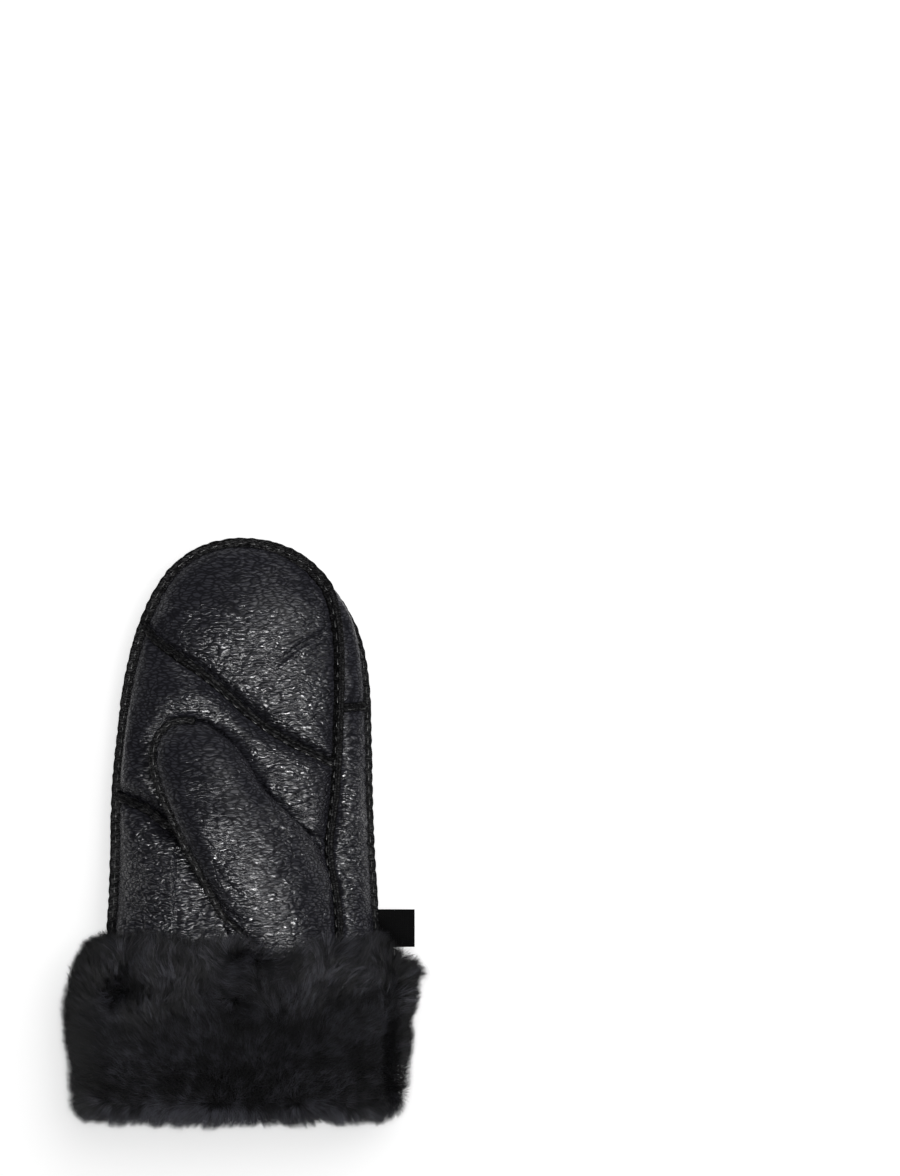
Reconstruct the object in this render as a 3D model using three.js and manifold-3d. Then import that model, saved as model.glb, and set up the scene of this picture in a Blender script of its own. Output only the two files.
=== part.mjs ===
// Left-hand shearling mitten of black leather, lying on its back with the palm up.
// Millimetres, +Z up, fingertip towards +Y, palm facing +Z. The origin is on the table,
// under the centre of the whole mitten.
//
// The hide is one skin with the wool inside: leather panels sewn with upright seams, a
// thumb that lies across the palm, and a cuff turned back so that its wool faces out.

import * as THREE from "three";
import { mergeVertices } from "three/addons/utils/BufferGeometryUtils.js";
import Module from "manifold-3d";

const wasm = await Module();
wasm.setup();

// Overall sizes
const TOTAL_LENGTH = 260; // fingertip seam to the lower edge of the wool
const HAND_WIDTH = 122; // leather at the wrist, with its seams
const HAND_THICKNESS = 32; // leather body without the thumb
const THUMB_WIDTH = 41; // leather of the thumb at its middle
const THUMB_THICKNESS = 20;
const THUMB_LENGTH = 125; // tip to the end that is buried in the heel of the hand

// Hide and wool
const SKIN = 1.8; // leather with the felted foot of the wool
const LINING = 7; // wool inside, as a hand has pressed it
const PILE_OVER = 14; // wool of the turned cuff above the wrist
const PILE_UNDER = 10; // and below it, pressed by the mitten's weight
const PILE_SIDE = 17;
const RIM_PILE = 18; // wool that rolls over the lower edge

// Seams stand up from the leather as two hide edges side by side
const SEAM_WIDTH = 3;
const SEAM_STAND = 3.2;
const SEAM_ROOT = 0.6; // how far a seam reaches below the skin

// Cuff, lining and label
const CUFF_LENGTH = 84;
const LINING_LENGTH = 58;
const LABEL_LENGTH = 16.5; // along the seam
const LABEL_REACH = 14.5; // out from the seam
const LABEL_LAYER = 0.5;
const LABEL_FOLD = 1.5; // outer thickness of the folded tape
const LABEL_ABOVE_CUFF = 4.5; // from the cuff's upper edge to the middle of the label

const CLEARANCE = 0.35; // between pieces that are sewn together
const SLOT_ROOT = 2 * SKIN + SEAM_ROOT; // depth of the cut that a seam stands in

// Sizes that follow
const HALF_WIDTH = HAND_WIDTH / 2;
const HALF_THICKNESS = HAND_THICKNESS / 2;
const HAND_LENGTH = TOTAL_LENGTH - SEAM_STAND - RIM_PILE;
const TIP_Y = TOTAL_LENGTH / 2 - SEAM_STAND;
const CUFF_WIDTH = HAND_WIDTH + 2 * PILE_SIDE;
const WRIST_THICKNESS = 1.05 * HAND_THICKNESS;
const CUFF_HEIGHT = PILE_UNDER + WRIST_THICKNESS + PILE_OVER;
const CUFF_TOP_Y = CUFF_LENGTH - TOTAL_LENGTH / 2;
const LABEL_AT = (TIP_Y - CUFF_TOP_Y - LABEL_ABOVE_CUFF) / HAND_LENGTH;

// Fineness of the faceted walls
const HAND_ROWS = 16;
const HAND_SIDES = 28;
const THUMB_ROWS = 11;
const THUMB_SIDES = 18;
const SEAM_STEPS = 22;
const SHORT_SEAM_STEPS = 10;
const TURN_STEPS = 5; // of the thumb's seam, round its tip
const SQUARENESS = 1.3; // 1 is an ellipse, and more squares a section's shoulders

// Rows of numbers under named columns.
function table(columns, ...rows) {
  return rows.map((row) =>
    Object.fromEntries(columns.map((name, i) => [name, row[i]])),
  );
}

// Sections of the hand, from the fingertip to the wrist. at: share of HAND_LENGTH.
// left, right and seam (the palm's outer seam): shares of HALF_WIDTH. mid, crown and belly:
// shares of HAND_THICKNESS for the height of the widest line, and the rise above and fall
// below it. lift: share of PILE_UNDER. drop: how far down the belly the strip's seam
// runs, as a share of its depth.
const HAND_SECTIONS = table(
  ["at", "left", "right", "seam", "mid", "crown", "belly", "lift", "drop"],
  [0.0, -0.02, -0.02, -0.02, 0.39, 0.0, 0.0, 0, -0.4],
  [0.01, -0.25, 0.25, 0.235, 0.39, 0.16, 0.14, 0, -0.4],
  [0.04, -0.45, 0.49, 0.455, 0.39, 0.29, 0.27, 0, 0.5],
  [0.09, -0.6, 0.68, 0.615, 0.39, 0.385, 0.36, 0, 0.45],
  [0.16, -0.72, 0.81, 0.68, 0.39, 0.445, 0.41, 0, 0.28],
  [0.25, -0.81, 0.87, 0.698, 0.39, 0.48, 0.44, 0, 0.12],
  [0.35, -0.86, 0.885, 0.69, 0.39, 0.5, 0.44, 0, 0.08],
  [0.46, -0.9, 0.895, 0.67, 0.41, 0.51, 0.44, 0, 0.08],
  [0.56, -0.905, 0.91, 0.632, 0.45, 0.53, 0.46, 0.1, 0.08],
  [0.65, -0.91, 0.935, 0.69, 0.49, 0.545, 0.48, 0.38, 0.08],
  [0.72, -0.92, 0.95, 0.71, 0.51, 0.55, 0.5, 0.7, 0.08],
  [0.86, -0.93, 0.95, 0.71, 0.52, 0.54, 0.52, 1, 0.08],
  [1.0, -0.93, 0.95, 0.71, 0.52, 0.53, 0.52, 1, 0.08],
);

// Sections of the thumb, from its tip down into the heel of the hand. at: share of
// THUMB_LENGTH. left, right: shares of THUMB_WIDTH from its axis. leftRise, rightRise (the
// widest line above the palm), crown and belly: shares of THUMB_THICKNESS.
const THUMB_SECTIONS = table(
  ["at", "left", "right", "leftRise", "rightRise", "crown", "belly"],
  [0.0, 0.0, 0.0, 0.47, 0.47, 0.0, 0.0],
  [0.016, -0.17, 0.14, 0.47, 0.47, 0.2, 0.18],
  [0.048, -0.28, 0.27, 0.47, 0.47, 0.33, 0.28],
  [0.1, -0.365, 0.37, 0.48, 0.48, 0.42, 0.35],
  [0.16, -0.415, 0.425, 0.49, 0.49, 0.47, 0.4],
  [0.24, -0.455, 0.445, 0.5, 0.5, 0.5, 0.425],
  [0.36, -0.495, 0.445, 0.49, 0.49, 0.515, 0.435],
  [0.48, -0.52, 0.545, 0.39, 0.28, 0.53, 0.45],
  [0.58, -0.53, 0.64, 0.33, 0.02, 0.55, 0.45],
  [0.66, -0.525, 0.66, 0.28, -0.25, 0.55, 0.45],
  [0.76, -0.445, 0.58, 0.22, -0.42, 0.5, 0.45],
  [0.86, -0.36, 0.42, 0.08, -0.55, 0.36, 0.35],
  [1.0, -0.25, 0.25, -0.2, -0.65, 0.2, 0.2],
);
const THUMB_TIP = { x: -0.495, at: 0.329 }; // shares of HALF_WIDTH and HAND_LENGTH
const THUMB_LEAN = THREE.MathUtils.degToRad(31); // of its axis from the fingers, to the left

// Sections of the turned cuff, from its upper edge to its lower one. at: share of
// CUFF_LENGTH. left, right: shares of CUFF_WIDTH. top, bottom: shares of CUFF_HEIGHT.
const CUFF_SECTIONS = table(
  ["at", "left", "right", "top", "bottom"],
  [0.0, -0.4, 0.385, 0.79, 0.13],
  [0.04, -0.43, 0.4, 0.87, 0.06],
  [0.09, -0.468, 0.44, 0.925, 0.02],
  [0.15, -0.488, 0.487, 0.965, 0.0],
  [0.23, -0.5, 0.5, 0.99, 0.0],
  [0.36, -0.5, 0.493, 1.0, 0.0],
  [0.44, -0.498, 0.474, 1.0, 0.0],
  [0.52, -0.497, 0.483, 1.0, 0.0],
  [0.72, -0.494, 0.474, 0.985, 0.0],
  [0.86, -0.486, 0.458, 0.95, 0.0],
  [0.94, -0.452, 0.428, 0.9, 0.03],
  [0.98, -0.415, 0.4, 0.845, 0.08],
  [1.0, -0.375, 0.365, 0.79, 0.13],
);
const CUFF_MID = 0.46; // height of its widest line, share of CUFF_HEIGHT
const CUFF_SIDES = 32;

// Seams drawn on the palm. x: share of HALF_WIDTH. at: share of HAND_LENGTH.
const DIAGONAL_SEAM = [
  { x: -0.76, at: 0.136 },
  { x: -0.617, at: 0.174 },
  { x: -0.307, at: 0.229 },
  { x: -0.126, at: 0.266 },
  { x: 0.054, at: 0.307 },
  { x: 0.234, at: 0.34 },
  { x: 0.415, at: 0.367 },
  { x: 0.692, at: 0.4025 },
];
const SIDE_SEAM = [
  { x: -0.9, at: 0.465 },
  { x: -0.83, at: 0.47 },
  { x: -0.703, at: 0.482 },
  { x: -0.617, at: 0.498 },
  { x: -0.5, at: 0.52 },
];
// The palm leather ends here, out of sight under the thumb
const CROTCH_LINE = [
  { x: -0.56, at: 0.508 },
  { x: -0.307, at: 0.539 },
  { x: -0.018, at: 0.5535 },
  { x: 0.307, at: 0.557 },
  { x: 0.65, at: 0.5515 },
];
// Where the heel meets the palm's side, under the cuff
const HEEL_LINE = [
  { x: -0.5, at: 0.52 },
  { x: -0.3, at: 0.6 },
  { x: -0.1, at: 0.68 },
  { x: 0.02, at: 0.76 },
  { x: 0.06, at: 0.86 },
  { x: 0.06, at: 1.0 },
];
const STRIP_SEAM_AT = 0.296; // share of HAND_LENGTH where the side strip is joined

// The value of one column at a share, on a smooth curve through the rows. With rounded
// true the curve runs in the share's square root, so that it leaves the tip squarely.
function read(rows, column, at, rounded) {
  const scale = rounded ? Math.sqrt : (v) => v;
  const t = rows.map((row) => scale(row.at));
  const v = rows.map((row) => row[column]);
  const q = scale(THREE.MathUtils.clamp(at, 0, 1));
  let i = 0;
  while (i < t.length - 2 && q > t[i + 1]) i++;
  const slope = (k) => {
    const a = Math.max(k - 1, 0);
    const b = Math.min(k + 1, t.length - 1);
    return (v[b] - v[a]) / (t[b] - t[a]);
  };
  const h = t[i + 1] - t[i];
  const s = (q - t[i]) / h;
  const rise = v[i + 1] - v[i];
  return (
    v[i] +
    s * s * (3 - 2 * s) * rise +
    h * s * (1 - s) * ((1 - s) * slope(i) - s * slope(i + 1))
  );
}

const raised = (value, power) => Math.sign(value) * Math.abs(value) ** power;

// A point of the hand's surface. angle: 0 is its right side and a quarter turn the palm.
// inset: how far inside the leather's outer face.
function handPoint(at, angle, inset = 0) {
  const column = (name) => read(HAND_SECTIONS, name, at, true);
  const left = column("left") * HALF_WIDTH;
  const right = column("right") * HALF_WIDTH;
  const across = raised(Math.cos(angle), 1 / SQUARENESS);
  const up = Math.sin(angle);
  const bulge = column(up > 0 ? "crown" : "belly") * HAND_THICKNESS;
  const mid = column("mid") * HAND_THICKNESS + column("lift") * PILE_UNDER;
  return new THREE.Vector3(
    (left + right) / 2 +
      ((across * (right - left)) / 2) * (1 - inset / HALF_WIDTH),
    TIP_Y - inset - at * (HAND_LENGTH - inset),
    Math.max(mid + up * bulge * (1 - inset / HALF_THICKNESS), inset, 0),
  );
}

// The angle of the palm's surface above x, at one share of the hand's length.
function palmAngle(x, at) {
  const left = read(HAND_SECTIONS, "left", at, true) * HALF_WIDTH;
  const right = read(HAND_SECTIONS, "right", at, true) * HALF_WIDTH;
  const share = (2 * x - left - right) / (right - left);
  return Math.acos(THREE.MathUtils.clamp(raised(share, SQUARENESS), -1, 1));
}

const thumbDown = new THREE.Vector2(Math.sin(THUMB_LEAN), -Math.cos(THUMB_LEAN));
const thumbRight = new THREE.Vector2(-thumbDown.y, thumbDown.x);
const thumbTip = new THREE.Vector2(
  THUMB_TIP.x * HALF_WIDTH,
  TIP_Y - THUMB_TIP.at * HAND_LENGTH,
);

// A point of the thumb's surface, with angles and inset as on the hand.
function thumbPoint(at, angle, inset = 0) {
  const column = (name) => read(THUMB_SECTIONS, name, at, true);
  const left = column("left") * THUMB_WIDTH;
  const right = column("right") * THUMB_WIDTH;
  const across = raised(Math.cos(angle), 1 / SQUARENESS);
  const up = Math.sin(angle);
  const bulge = column(up > 0 ? "crown" : "belly") * THUMB_THICKNESS;
  const down = inset + at * (THUMB_LENGTH - 2 * inset);
  const aside =
    (left + right) / 2 +
    ((across * (right - left)) / 2) * (1 - (2 * inset) / THUMB_WIDTH);
  const axis = thumbTip.clone().addScaledVector(thumbDown, at * THUMB_LENGTH);
  const under = (TIP_Y - axis.y) / HAND_LENGTH;
  const palm = handPoint(under, palmAngle(axis.x, under)).z;
  const rise = THREE.MathUtils.lerp(
    column("leftRise"),
    column("rightRise"),
    (across + 1) / 2,
  );
  const place = thumbTip
    .clone()
    .addScaledVector(thumbDown, down)
    .addScaledVector(thumbRight, aside);
  return new THREE.Vector3(
    place.x,
    place.y,
    palm +
      rise * THUMB_THICKNESS +
      up * bulge * (1 - (2 * inset) / THUMB_THICKNESS),
  );
}

// A point of the cuff's outer form.
function cuffPoint(at, angle) {
  const column = (name) => read(CUFF_SECTIONS, name, at, false);
  const left = column("left") * CUFF_WIDTH;
  const right = column("right") * CUFF_WIDTH;
  const up = Math.sin(angle);
  const end = column(up > 0 ? "top" : "bottom");
  const across = raised(Math.cos(angle), 1 / SQUARENESS);
  const bulge = Math.abs(end - CUFF_MID) * CUFF_HEIGHT;
  return new THREE.Vector3(
    (left + right) / 2 + (across * (right - left)) / 2,
    CUFF_TOP_Y - at * CUFF_LENGTH,
    CUFF_MID * CUFF_HEIGHT + raised(up, 1 / SQUARENESS) * bulge,
  );
}

// A closed surface through loops of equal length, flat at both ends. A loop of one point
// is a tip.
function loft(loops) {
  const points = [];
  const faces = [];
  const starts = loops.map((loop) => {
    points.push(...loop);
    return points.length - loop.length;
  });
  for (let i = 0; i + 1 < loops.length; i++) {
    const n = Math.max(loops[i].length, loops[i + 1].length);
    for (let k = 0; k < n; k++) {
      const on = (row, j) => starts[row] + (j % n) % loops[row].length;
      const a = on(i, k);
      const b = on(i, k + 1);
      const c = on(i + 1, k + 1);
      const d = on(i + 1, k);
      if (a !== b) faces.push([a, b, c]);
      if (c !== d) faces.push([a, c, d]);
    }
  }
  const last = loops.length - 1;
  for (const [row, flip] of [
    [0, true],
    [last, false],
  ]) {
    const loop = loops[row];
    if (loop.length === 1) continue;
    const centre = points.length;
    const sum = loop.reduce((t, p) => t.add(p), new THREE.Vector3());
    points.push(sum.divideScalar(loop.length));
    for (let k = 0; k < loop.length; k++) {
      const a = starts[row] + k;
      const b = starts[row] + ((k + 1) % loop.length);
      faces.push(flip ? [b, a, centre] : [a, b, centre]);
    }
  }
  const geometry = new THREE.BufferGeometry().setFromPoints(points);
  geometry.setIndex(faces.flat());
  return geometry;
}

// A manifold solid of a closed geometry, whichever way round its faces run.
function solid(geometry) {
  const merged = mergeVertices(geometry, 1e-4);
  const triVerts = new Uint32Array(merged.index.array);
  const make = () =>
    new wasm.Manifold(
      new wasm.Mesh({
        numProp: 3,
        vertProperties: merged.attributes.position.array,
        triVerts,
      }),
    );
  const made = make();
  if (made.volume() > 0) return made;
  for (let i = 0; i < triVerts.length; i += 3)
    [triVerts[i + 1], triVerts[i + 2]] = [triVerts[i + 2], triVerts[i + 1]];
  return make();
}

function geometryOf(made) {
  const mesh = made.getMesh();
  const geometry = new THREE.BufferGeometry();
  geometry.setAttribute(
    "position",
    new THREE.BufferAttribute(mesh.vertProperties, 3),
  );
  geometry.setIndex(new THREE.BufferAttribute(mesh.triVerts, 1));
  return geometry;
}

// Shares from 0 to 1 that crowd towards the tip, as the sections of a rounded end must.
const towardsTip = (rows, last = 1) =>
  Array.from({ length: rows + 1 }, (_, i) => last * (i / rows) ** 2);
const evenly = (steps, from = 0, to = 1) =>
  Array.from({ length: steps + 1 }, (_, i) => from + ((to - from) * i) / steps);
const turns = (sides) =>
  Array.from({ length: sides }, (_, k) => (2 * Math.PI * k) / sides);

function roundedLoft(pointAt, rows, sides, inset) {
  return solid(
    loft(
      towardsTip(rows).map((at) =>
        at === 0
          ? [pointAt(0, 0, inset)]
          : turns(sides).map((angle) => pointAt(at, angle, inset)),
      ),
    ),
  );
}

const handSolid = (inset) =>
  roundedLoft(handPoint, HAND_ROWS, HAND_SIDES, inset);
const thumbSolid = (inset) =>
  roundedLoft(thumbPoint, THUMB_ROWS, THUMB_SIDES, inset);

// One step of a seam: a point on a surface, and the way out of the leather there.
function stepOn(pointAt, at, angle) {
  const point = pointAt(at, angle);
  const out = point.clone().sub(pointAt(at, angle, SKIN)).normalize();
  return { point, out };
}

// An upright seam along its steps: as wide as asked, from root below the leather's face to
// stand above it, with its top edges eased. Both ends run on by past.
function seamSolid(steps, width, root, stand, past) {
  const ease = width / 4;
  const outline = [
    [-width / 2, -root],
    [width / 2, -root],
    [width / 2, stand - ease],
    [width / 2 - ease, stand],
    [ease - width / 2, stand],
    [-width / 2, stand - ease],
  ];
  const last = steps.length - 1;
  const loops = steps.map(({ point, out }, i) => {
    const before = steps[Math.max(i - 1, 0)].point;
    const after = steps[Math.min(i + 1, last)].point;
    const along = after.clone().sub(before).normalize();
    const aside = new THREE.Vector3().crossVectors(along, out).normalize();
    const run = i === 0 ? -past : i === last ? past : 0;
    const centre = point.clone().addScaledVector(along, run);
    return outline.map(([w, h]) =>
      centre.clone().addScaledVector(aside, w).addScaledVector(out, h),
    );
  });
  return solid(loft(loops));
}

const ribOf = (steps) =>
  seamSolid(steps, SEAM_WIDTH, SKIN + SEAM_ROOT, SEAM_STAND, 0);
const slotWidth = SEAM_WIDTH + 2 * CLEARANCE;
const slotOf = (steps) =>
  seamSolid(steps, slotWidth, SLOT_ROOT, SEAM_STAND + CLEARANCE, CLEARANCE);
const tallSlotOf = (steps) =>
  seamSolid(steps, slotWidth, SLOT_ROOT, THUMB_THICKNESS, CLEARANCE);
const slitOf = (steps) =>
  seamSolid(steps, 1.5 * CLEARANCE, SLOT_ROOT, SLOT_ROOT, CLEARANCE);

// Steps along a line drawn on the palm.
function palmSteps(line, count) {
  const curve = new THREE.CatmullRomCurve3(
    line.map(
      ({ x, at }) => new THREE.Vector3(x * HALF_WIDTH, at * HAND_LENGTH, 0),
    ),
  );
  return evenly(count).map((t) => {
    const { x, y } = curve.getPoint(t);
    const at = y / HAND_LENGTH;
    return stepOn(handPoint, at, palmAngle(x, at));
  });
}

const stripAngle = (at) => -Math.asin(read(HAND_SECTIONS, "drop", at, true));
const leftSeamStep = (at) => stepOn(handPoint, at, Math.PI);
const rightSeamStep = (at) => stepOn(handPoint, at, stripAngle(at));
const palmSeamStep = (at) =>
  stepOn(
    handPoint,
    at,
    palmAngle(read(HAND_SECTIONS, "seam", at, true) * HALF_WIDTH, at),
  );

const NEAR_TIP = 0.0002; // the outline's seam turns the fingertip this near to its pole
const fromTip = (count, last) =>
  towardsTip(count, last).map((at) => Math.max(at, NEAR_TIP));

// The outline's seam runs up the left side, round the fingertip and down the palm.
const palmSeamSteps = fromTip(SEAM_STEPS, 1).map(palmSeamStep);
const outlineSteps = [
  ...fromTip(SEAM_STEPS, 1).reverse().map(leftSeamStep),
  ...palmSeamSteps,
];
const STRIP_TOP = 0.012; // share of HAND_LENGTH where the side strip begins
const stripSteps = evenly(SEAM_STEPS, Math.sqrt(STRIP_TOP), 1).map((root) =>
  rightSeamStep(root * root),
);
const diagonalSteps = palmSteps(DIAGONAL_SEAM, SEAM_STEPS);
const sideSteps = palmSteps(SIDE_SEAM, SHORT_SEAM_STEPS);
const crotchSteps = palmSteps(CROTCH_LINE, SHORT_SEAM_STEPS);
const heelSteps = palmSteps(HEEL_LINE, SHORT_SEAM_STEPS);

// The strip's own joint runs across it, from the palm's seam to the right one.
const crossSteps = evenly(SHORT_SEAM_STEPS / 2).map((t) => {
  const from = palmAngle(
    read(HAND_SECTIONS, "seam", STRIP_SEAM_AT, true) * HALF_WIDTH,
    STRIP_SEAM_AT,
  );
  const to = stripAngle(STRIP_SEAM_AT);
  return stepOn(handPoint, STRIP_SEAM_AT, THREE.MathUtils.lerp(from, to, t));
});

// The thumb's seam runs up its left side and a little way round its tip.
const thumbEdgeY = (at) => thumbPoint(at, Math.PI).y;
const UNDER_CUFF = 1.5; // that the thumb's seam reaches below the cuff's edge
const STRAIGHT_FROM = 0.5; // share of THUMB_LENGTH from which its left edge runs straight
const THUMB_SEAM_END = THREE.MathUtils.clamp(
  THREE.MathUtils.mapLinear(
    CUFF_TOP_Y - UNDER_CUFF,
    thumbEdgeY(STRAIGHT_FROM),
    thumbEdgeY(1),
    STRAIGHT_FROM,
    1,
  ),
  STRAIGHT_FROM,
  1,
);
const THUMB_TIP_END = 0.035;
const thumbLeft = (at) => stepOn(thumbPoint, at, Math.PI);
const thumbRightSide = (at) => stepOn(thumbPoint, at, 0);
const thumbSeamSteps = [
  ...fromTip(SEAM_STEPS, THUMB_SEAM_END).reverse().map(thumbLeft),
  ...fromTip(TURN_STEPS, THUMB_TIP_END).map(thumbRightSide),
];

// The thumb's front and back meet out of sight too, under its right side and, past the
// end of the seam, at its root.
const UNDER_ANGLE = -0.45; // radians below the thumb's widest line
const thumbUnderSteps = evenly(SEAM_STEPS, Math.sqrt(THUMB_TIP_END / 2), 1).map(
  (root) => stepOn(thumbPoint, root * root, UNDER_ANGLE),
);
const thumbRootSteps = evenly(SHORT_SEAM_STEPS, THUMB_SEAM_END, 1).map(thumbLeft);

// Shaping solids
const hand = handSolid(0);
const handInside = handSolid(SKIN);
const handGrown = handSolid(-CLEARANCE);
const thumb = thumbSolid(0);
const thumbInside = thumbSolid(SKIN);
const thumbGrown = thumbSolid(-2 * CLEARANCE);

const outlineSlot = slotOf(outlineSteps);
const stripSlot = slotOf(stripSteps);
const thumbSlot = slotOf(thumbSeamSteps);

function bodiesBySize(made) {
  return made.decompose().sort((a, b) => b.volume() - a.volume());
}

const largest = (made) => bodiesBySize(made)[0];

// A box by its lowest and highest corners.
function block(low, high) {
  const size = high.clone().sub(low);
  const middle = low.clone().add(high).multiplyScalar(0.5);
  const box = new THREE.BoxGeometry(size.x, size.y, size.z);
  box.deleteAttribute("normal");
  box.deleteAttribute("uv");
  box.translate(middle.x, middle.y, middle.z);
  return solid(box);
}

// The body of a cut shell over a point of the plan: of its upper half with side 1, and of
// its lower half with side -1.
function bodyAt(made, x, at, side) {
  const start = new THREE.Vector3(
    x * HALF_WIDTH,
    TIP_Y - at * HAND_LENGTH,
    handPoint(at, 0).z,
  );
  const end = start.clone().add(new THREE.Vector3(1, 1, 2 * side * CUFF_HEIGHT));
  const probe = block(start.clone().min(end), start.clone().max(end));
  return bodiesBySize(made).find((body) => body.intersect(probe).volume() > 0);
}

// Leather of the hand, open at the wrist and cut along its seams
const WRIST_Y = TIP_Y - HAND_LENGTH;
const wristOpening = handInside.translate([0, -SKIN, 0]);
const handLeather = hand
  .subtract(handInside)
  .subtract(wristOpening)
  .subtract(outlineSlot)
  .subtract(stripSlot)
  .subtract(slotOf(diagonalSteps))
  .subtract(slotOf(sideSteps))
  .subtract(slotOf(crossSteps))
  .subtract(slitOf(crotchSteps))
  .subtract(slitOf(heelSteps));

const palmTip = bodyAt(handLeather, -0.1, 0.12, 1);
const thumbRoom = thumbGrown.add(thumbSlot);
const palmMiddle = bodyAt(handLeather, -0.7, 0.35, 1).subtract(thumbRoom);
const palmSide = bodyAt(handLeather, -0.7, 0.7, 1).subtract(thumbRoom);
const heel = bodyAt(handLeather, 0.6, 0.65, 1);
const stripUpper = bodyAt(handLeather, 0.79, 0.22, 1);
const stripLower = bodyAt(handLeather, 0.83, 0.6, 1);
const back = bodyAt(handLeather, 0, 0.4, -1);

// The front of the thumb is one piece with the heel, and its back lies on the palm
const thumbLeather = thumb
  .subtract(thumbInside)
  .subtract(thumbSlot)
  .subtract(tallSlotOf(palmSeamSteps))
  .subtract(slitOf(thumbUnderSteps))
  .subtract(slitOf(thumbRootSteps))
  .subtract(handInside);
const [thumbCrown, thumbBelly] = bodiesBySize(thumbLeather);
const thumbFront = largest(
  heel.subtract(thumbInside).subtract(thumbSlot).add(thumbCrown),
);
const thumbBack = largest(thumbBelly.subtract(handGrown));

// Seams, each trimmed by the one that it runs into
const outlineSeam = ribOf(outlineSteps);
const stripSeam = ribOf(stripSteps).subtract(outlineSlot);
const diagonalSeam = largest(ribOf(diagonalSteps).subtract(outlineSlot));
const sideSeam = ribOf(sideSteps).subtract(outlineSlot).subtract(thumbGrown);
const crossSeam = ribOf(crossSteps).subtract(outlineSlot).subtract(stripSlot);
const thumbSeam = ribOf(thumbSeamSteps);

// Wool that shows inside the mouth, cut clear of the seams' roots
const woolFace = handSolid(SKIN + CLEARANCE);
const palmHollow = handSolid(SKIN + CLEARANCE + LINING);
const farLeft = new THREE.Vector3(-CUFF_WIDTH, WRIST_Y, -CUFF_HEIGHT);
const liningZone = block(
  farLeft,
  new THREE.Vector3(CUFF_WIDTH, WRIST_Y + LINING_LENGTH, 2 * CUFF_HEIGHT),
);
const liningEnds = palmHollow.translate([0, -LINING, 0]);
const lining = largest(
  woolFace
    .intersect(liningZone)
    .subtract(palmHollow)
    .subtract(liningEnds)
    .subtract(outlineSlot)
    .subtract(stripSlot)
    .subtract(thumbSlot),
);

// The label is a folded tape with its two ends towards the strip's seam.
const labelAt = rightSeamStep(LABEL_AT).point;
labelAt.x += SEAM_STAND + CLEARANCE;

function labelSolid(grown) {
  const reach = LABEL_REACH + grown;
  const half = LABEL_FOLD / 2 + grown;
  const hollow = LABEL_FOLD / 2 - LABEL_LAYER;
  const start = -grown;
  const profile = new THREE.Shape();
  profile.moveTo(start, -half);
  profile.lineTo(reach - half, -half);
  profile.absarc(reach - half, 0, half, -Math.PI / 2, Math.PI / 2, false);
  profile.lineTo(start, half);
  if (grown === 0) {
    profile.lineTo(start, hollow);
    profile.lineTo(reach - half, hollow);
    profile.absarc(reach - half, 0, hollow, Math.PI / 2, -Math.PI / 2, true);
    profile.lineTo(start, -hollow);
  }
  profile.closePath();
  const tape = new THREE.ExtrudeGeometry(profile, {
    depth: LABEL_LENGTH + 2 * grown,
    bevelEnabled: false,
    curveSegments: 6,
  });
  tape.deleteAttribute("normal");
  tape.deleteAttribute("uv");
  tape.rotateX(Math.PI / 2);
  tape.translate(
    labelAt.x,
    labelAt.y + LABEL_LENGTH / 2 + grown,
    labelAt.z,
  );
  return solid(tape);
}

// Wool of the turned cuff, rolled over the lower edge as far as the mouth
const cuffForm = solid(
  loft(
    CUFF_SECTIONS.map(({ at }) =>
      turns(CUFF_SIDES).map((angle) => cuffPoint(at, angle)),
    ),
  ),
);
const mouth = loft(
  [CLEARANCE, -RIM_PILE - CLEARANCE].map((ahead) =>
    turns(HAND_SIDES).map((angle) =>
      handPoint(1, angle, SKIN + CLEARANCE + LINING).add(
        new THREE.Vector3(0, ahead, 0),
      ),
    ),
  ),
);
const cuff = largest(
  cuffForm
    .subtract(handGrown)
    .subtract(handGrown.translate([0, -CLEARANCE, 0]))
    .subtract(thumbGrown)
    .subtract(solid(mouth))
    .subtract(outlineSlot)
    .subtract(stripSlot)
    .subtract(thumbSlot)
    .subtract(labelSolid(CLEARANCE)),
);

const black = { color: 0x26262a, roughness: 0.42, metalness: 0 };
const LEATHER = new THREE.MeshStandardMaterial(black);
const WOOL = new THREE.MeshStandardMaterial({ color: 0x17171a, roughness: 0.95 });
const TAPE = new THREE.MeshStandardMaterial({ color: 0x101012, roughness: 0.8 });

const parts = [
  ["palm_tip_panel", palmTip, LEATHER],
  ["palm_middle_panel", palmMiddle, LEATHER],
  ["palm_side_panel", palmSide, LEATHER],
  ["thumb_front_panel", thumbFront, LEATHER],
  ["thumb_back_panel", thumbBack, LEATHER],
  ["side_strip_upper", stripUpper, LEATHER],
  ["side_strip_lower", stripLower, LEATHER],
  ["back_panel", back, LEATHER],
  ["outline_seam", outlineSeam, LEATHER],
  ["strip_seam", stripSeam, LEATHER],
  ["cross_seam", crossSeam, LEATHER],
  ["diagonal_seam", diagonalSeam, LEATHER],
  ["side_seam", sideSeam, LEATHER],
  ["thumb_seam", thumbSeam, LEATHER],
  ["wool_lining", lining, WOOL],
  ["cuff_wool", cuff, WOOL],
  ["label_tab", labelSolid(0), TAPE],
];

const mitten = new THREE.Group();
for (const [name, body, material] of parts) {
  const mesh = new THREE.Mesh(geometryOf(body), material);
  mesh.name = name;
  mitten.add(mesh);
}
export default mitten;
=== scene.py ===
"""Left-hand shearling mitten of black leather, on its back with the palm up.

Shapes are worked out in millimetres in the CAD model's own frame and turned to metres when
a mesh is made. The leather is drawn as dense skins on the CAD's surfaces, cut into its
panels along the seams, and the wool is drawn strand by strand on a dark undercoat.
"""

import bpy
import numpy as np
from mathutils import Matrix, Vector, kdtree, noise


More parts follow.
